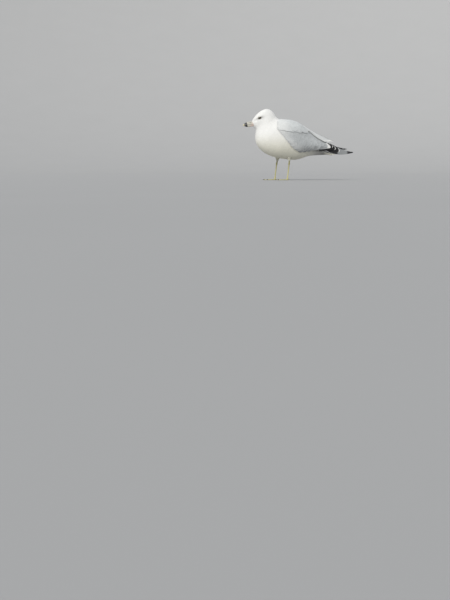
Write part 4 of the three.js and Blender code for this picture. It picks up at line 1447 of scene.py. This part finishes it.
def lid_piece(name, side):
    """A fleshy ring between the opening's ellipse on the ball and a wider one level with the feathers'
    feet. Its height slides from one to the other with the share across, and swells by a half sine over
    that, more on the upper lid. Fine folds run across it."""
    turn = turns(96).T
    section = turns(22)
    share = 0.5 - 0.5 * np.cos(section)
    fold = 0.05 * np.sin(turn * 44) * share
    upper = smooth(np.sin(turn), -0.2, 0.8)
    a = (OPENING_HALF[0] + LID_WIDTH * share) * np.cos(turn)
    b = (OPENING_HALF[1] + LID_WIDTH * share) * np.sin(turn) - OPENING_DROP
    ct, st = math.cos(LID_TILT), math.sin(LID_TILT)
    x, z = EYE[0] + a * ct - b * st, EYE[2] + a * st + b * ct
    off = np.hypot(x - EYE[0], z - EYE[2])
    ball = EYE[1] + np.sqrt(np.clip((BALL_RADIUS + 0.12) ** 2 - off ** 2, 1, None))
    base = ball + (face_y(x, z) - LID_SUNK - ball) * smooth(share, 0, 0.8)
    swell = np.where(np.sin(section) > 0, 0.45 + 0.25 * upper, 0.7) * np.sin(section)
    points = stacked(x, side * (base + swell + fold), z)
    faces = ring_faces(*points.shape[:2])
    flat = points.reshape(-1, 3)
    dark = np.broadcast_to(LID_DARK, flat.shape)
    lid = closed_piece(f"lids_{name}", (flat, faces), lid_paint,
                       blend(dark, DUSK * 0.4, smooth(share + 0 * turn, 0.6, 1.0).ravel()))
    return dress(lid, "eye")


for name, side in SIDES.items():
    eye_piece(name, side)
    lid_piece(name, side)

# %% [markdown]
# ## Claws
#
# Each toe ends in a small black hooked claw. It is a cone whose middle line drops by the square of the
# share along it. Its start, size and direction come from the frame and from the toe that it grows on.

# %% Claws
CLAW_LENGTH, CLAW_RADIUS, CLAW_DROP, CLAW_START = 7, 1.25, 0.9, 0.35


def claw_shell(start, way, size, drop):
    """Rings along the claw: the radius falls as a quarter ellipse and the height drops by the square."""
    across = np.array([-way[1], way[0], 0])
    s = np.linspace(-0.12, 1, 24)[:, None]
    angle = turns(18)
    radius = CLAW_RADIUS * size * (1 - 0.93 * np.maximum(s, 0) ** 1.4) * (1 - 0.25 * (s < 0))
    high = radius * np.cos(angle) - drop * np.maximum(s, 0) ** 2
    aside = (0.8 * radius * np.sin(angle))[..., None]
    points = start + way * (CLAW_LENGTH * size * s)[..., None] + across * aside
    points[..., 2] += high
    return tube_mesh(points)


for name, side in SIDES.items():
    lines = {toe: (*line, 1.0, CLAW_DROP, 1.9) for toe, line in toe_lines(name).items()}
    lines["hind"] = (*hind_toe_line(name), 0.5, 0.4, 1.0)
    for toe, (root, way, length, size, drop, height) in lines.items():
        start = root + way * (length + CLAW_START) + [0, 0, height]
        claw = claw_shell(start, way, size, drop)
        horn = np.broadcast_to(BLACK * 1.4, claw[0].shape)
        hook = closed_piece(f"claw_horn_{name}_{toe}", claw, claw_paint, horn)
        dress(hook, "claw", f"claw_{name}_{toe}")

# %% [markdown]
# ## Floor, light and camera
#
# The floor is a wide shallow bowl that is flat under the bird and curves up far behind it, so its edge
# never shows. A broad soft sun from the front left stands for a bright cloud, and a weak and wider one,
# with a pale world round it, fills the shadows. The camera is low and far off, a little ahead of the bird's
# left side. It stands below the bird's body, so it looks slightly up at it.

# %% Floor
FLAT_REACH, BOWL_REACH, BOWL_RISE = 6000, 16000, 0.00006


def bowl():
    """Height by the square of the distance past 6 m, on rings round the bird."""
    flat, rising = np.linspace(400, FLAT_REACH, 12), np.linspace(6500, BOWL_REACH, 30)
    reach = np.concatenate([[0.0], flat, rising])[:, None]
    turn = turns(96)
    rise = BOWL_RISE * np.maximum(0, reach - FLAT_REACH) ** 2
    points = stacked(reach * np.cos(turn), reach * np.sin(turn), rise)
    return points.reshape(-1, 3), grid_faces(len(reach), turn.size, closed=True)


def floor_material():
    """Pale matt paint with the faintest mottle."""
    material, tree, shader, place = new_material("pale floor")
    colour, _ = mottled(tree, place, 3, 0.02)
    connect(tree, shader, {"Base Color": colour, "Roughness": 0.9, "Specular IOR Level": 0.1})
    return material


points, faces = bowl()
floor = mesh_piece("floor", points, faces, floor_material(), np.full(points.shape, 0.4))

# %% Light
def soft_sun(name, towards, spread, strength, colour):
    """A distant lamp as wide as the spread in radians, so it lights floor and bird evenly with soft
    shadows."""
    lamp = bpy.data.lights.new(name, "SUN")
    lamp.angle, lamp.energy, lamp.color = spread, strength, colour
    thing = bpy.data.objects.new(name, lamp)
    bpy.context.collection.objects.link(thing)
    thing.rotation_euler = mathutils.Vector(towards).to_track_quat("-Z", "Y").to_euler()


soft_sun("bright cloud", (0.60, 0.70, -0.64), 0.8, 2.85, (1.0, 0.985, 0.955))
soft_sun("far side", (-0.5, -1.0, -0.9), 1.4, 0.6, (0.95, 0.97, 1.0))
world = bpy.data.worlds.new("pale room")
bpy.context.scene.world = world
world.use_nodes = True
sky = world.node_tree.nodes["Background"]
connect(world.node_tree, sky, {"Color": (0.86, 0.90, 0.95, 1), "Strength": 0.5})
bpy.context.scene.view_settings.view_transform = "Standard"

# %% Camera
LENS, SENSOR = 52.0, 36.0
DISTANCE, CAMERA_TURN, CAMERA_HEIGHT = 3.63, math.radians(12), 0.04
AIM = np.array([0.084, 0.1385])  # the origin's place right of and above the frame's middle, in focal lengths

place = np.array([-math.sin(CAMERA_TURN) * DISTANCE, -math.cos(CAMERA_TURN) * DISTANCE, CAMERA_HEIGHT])
to_origin = unit(-place)
pitch = math.asin(to_origin[2] * math.hypot(1, *AIM) / math.hypot(1, AIM[1])) - math.atan(AIM[1])
bearing = math.atan2(-to_origin[0], to_origin[1])
heading = bearing + math.atan2(AIM[0], math.cos(pitch) - AIM[1] * math.sin(pitch))
lens = bpy.data.cameras.new("camera")
lens.lens, lens.sensor_width, lens.clip_start = LENS, SENSOR, 0.01
camera = bpy.data.objects.new("camera", lens)
bpy.context.collection.objects.link(camera)
camera.location = place
camera.rotation_euler = (math.pi / 2 + pitch, 0, heading)
bpy.context.scene.camera = camera
print("camera pitch and heading, degrees:", round(math.degrees(pitch), 2), round(math.degrees(heading), 2))
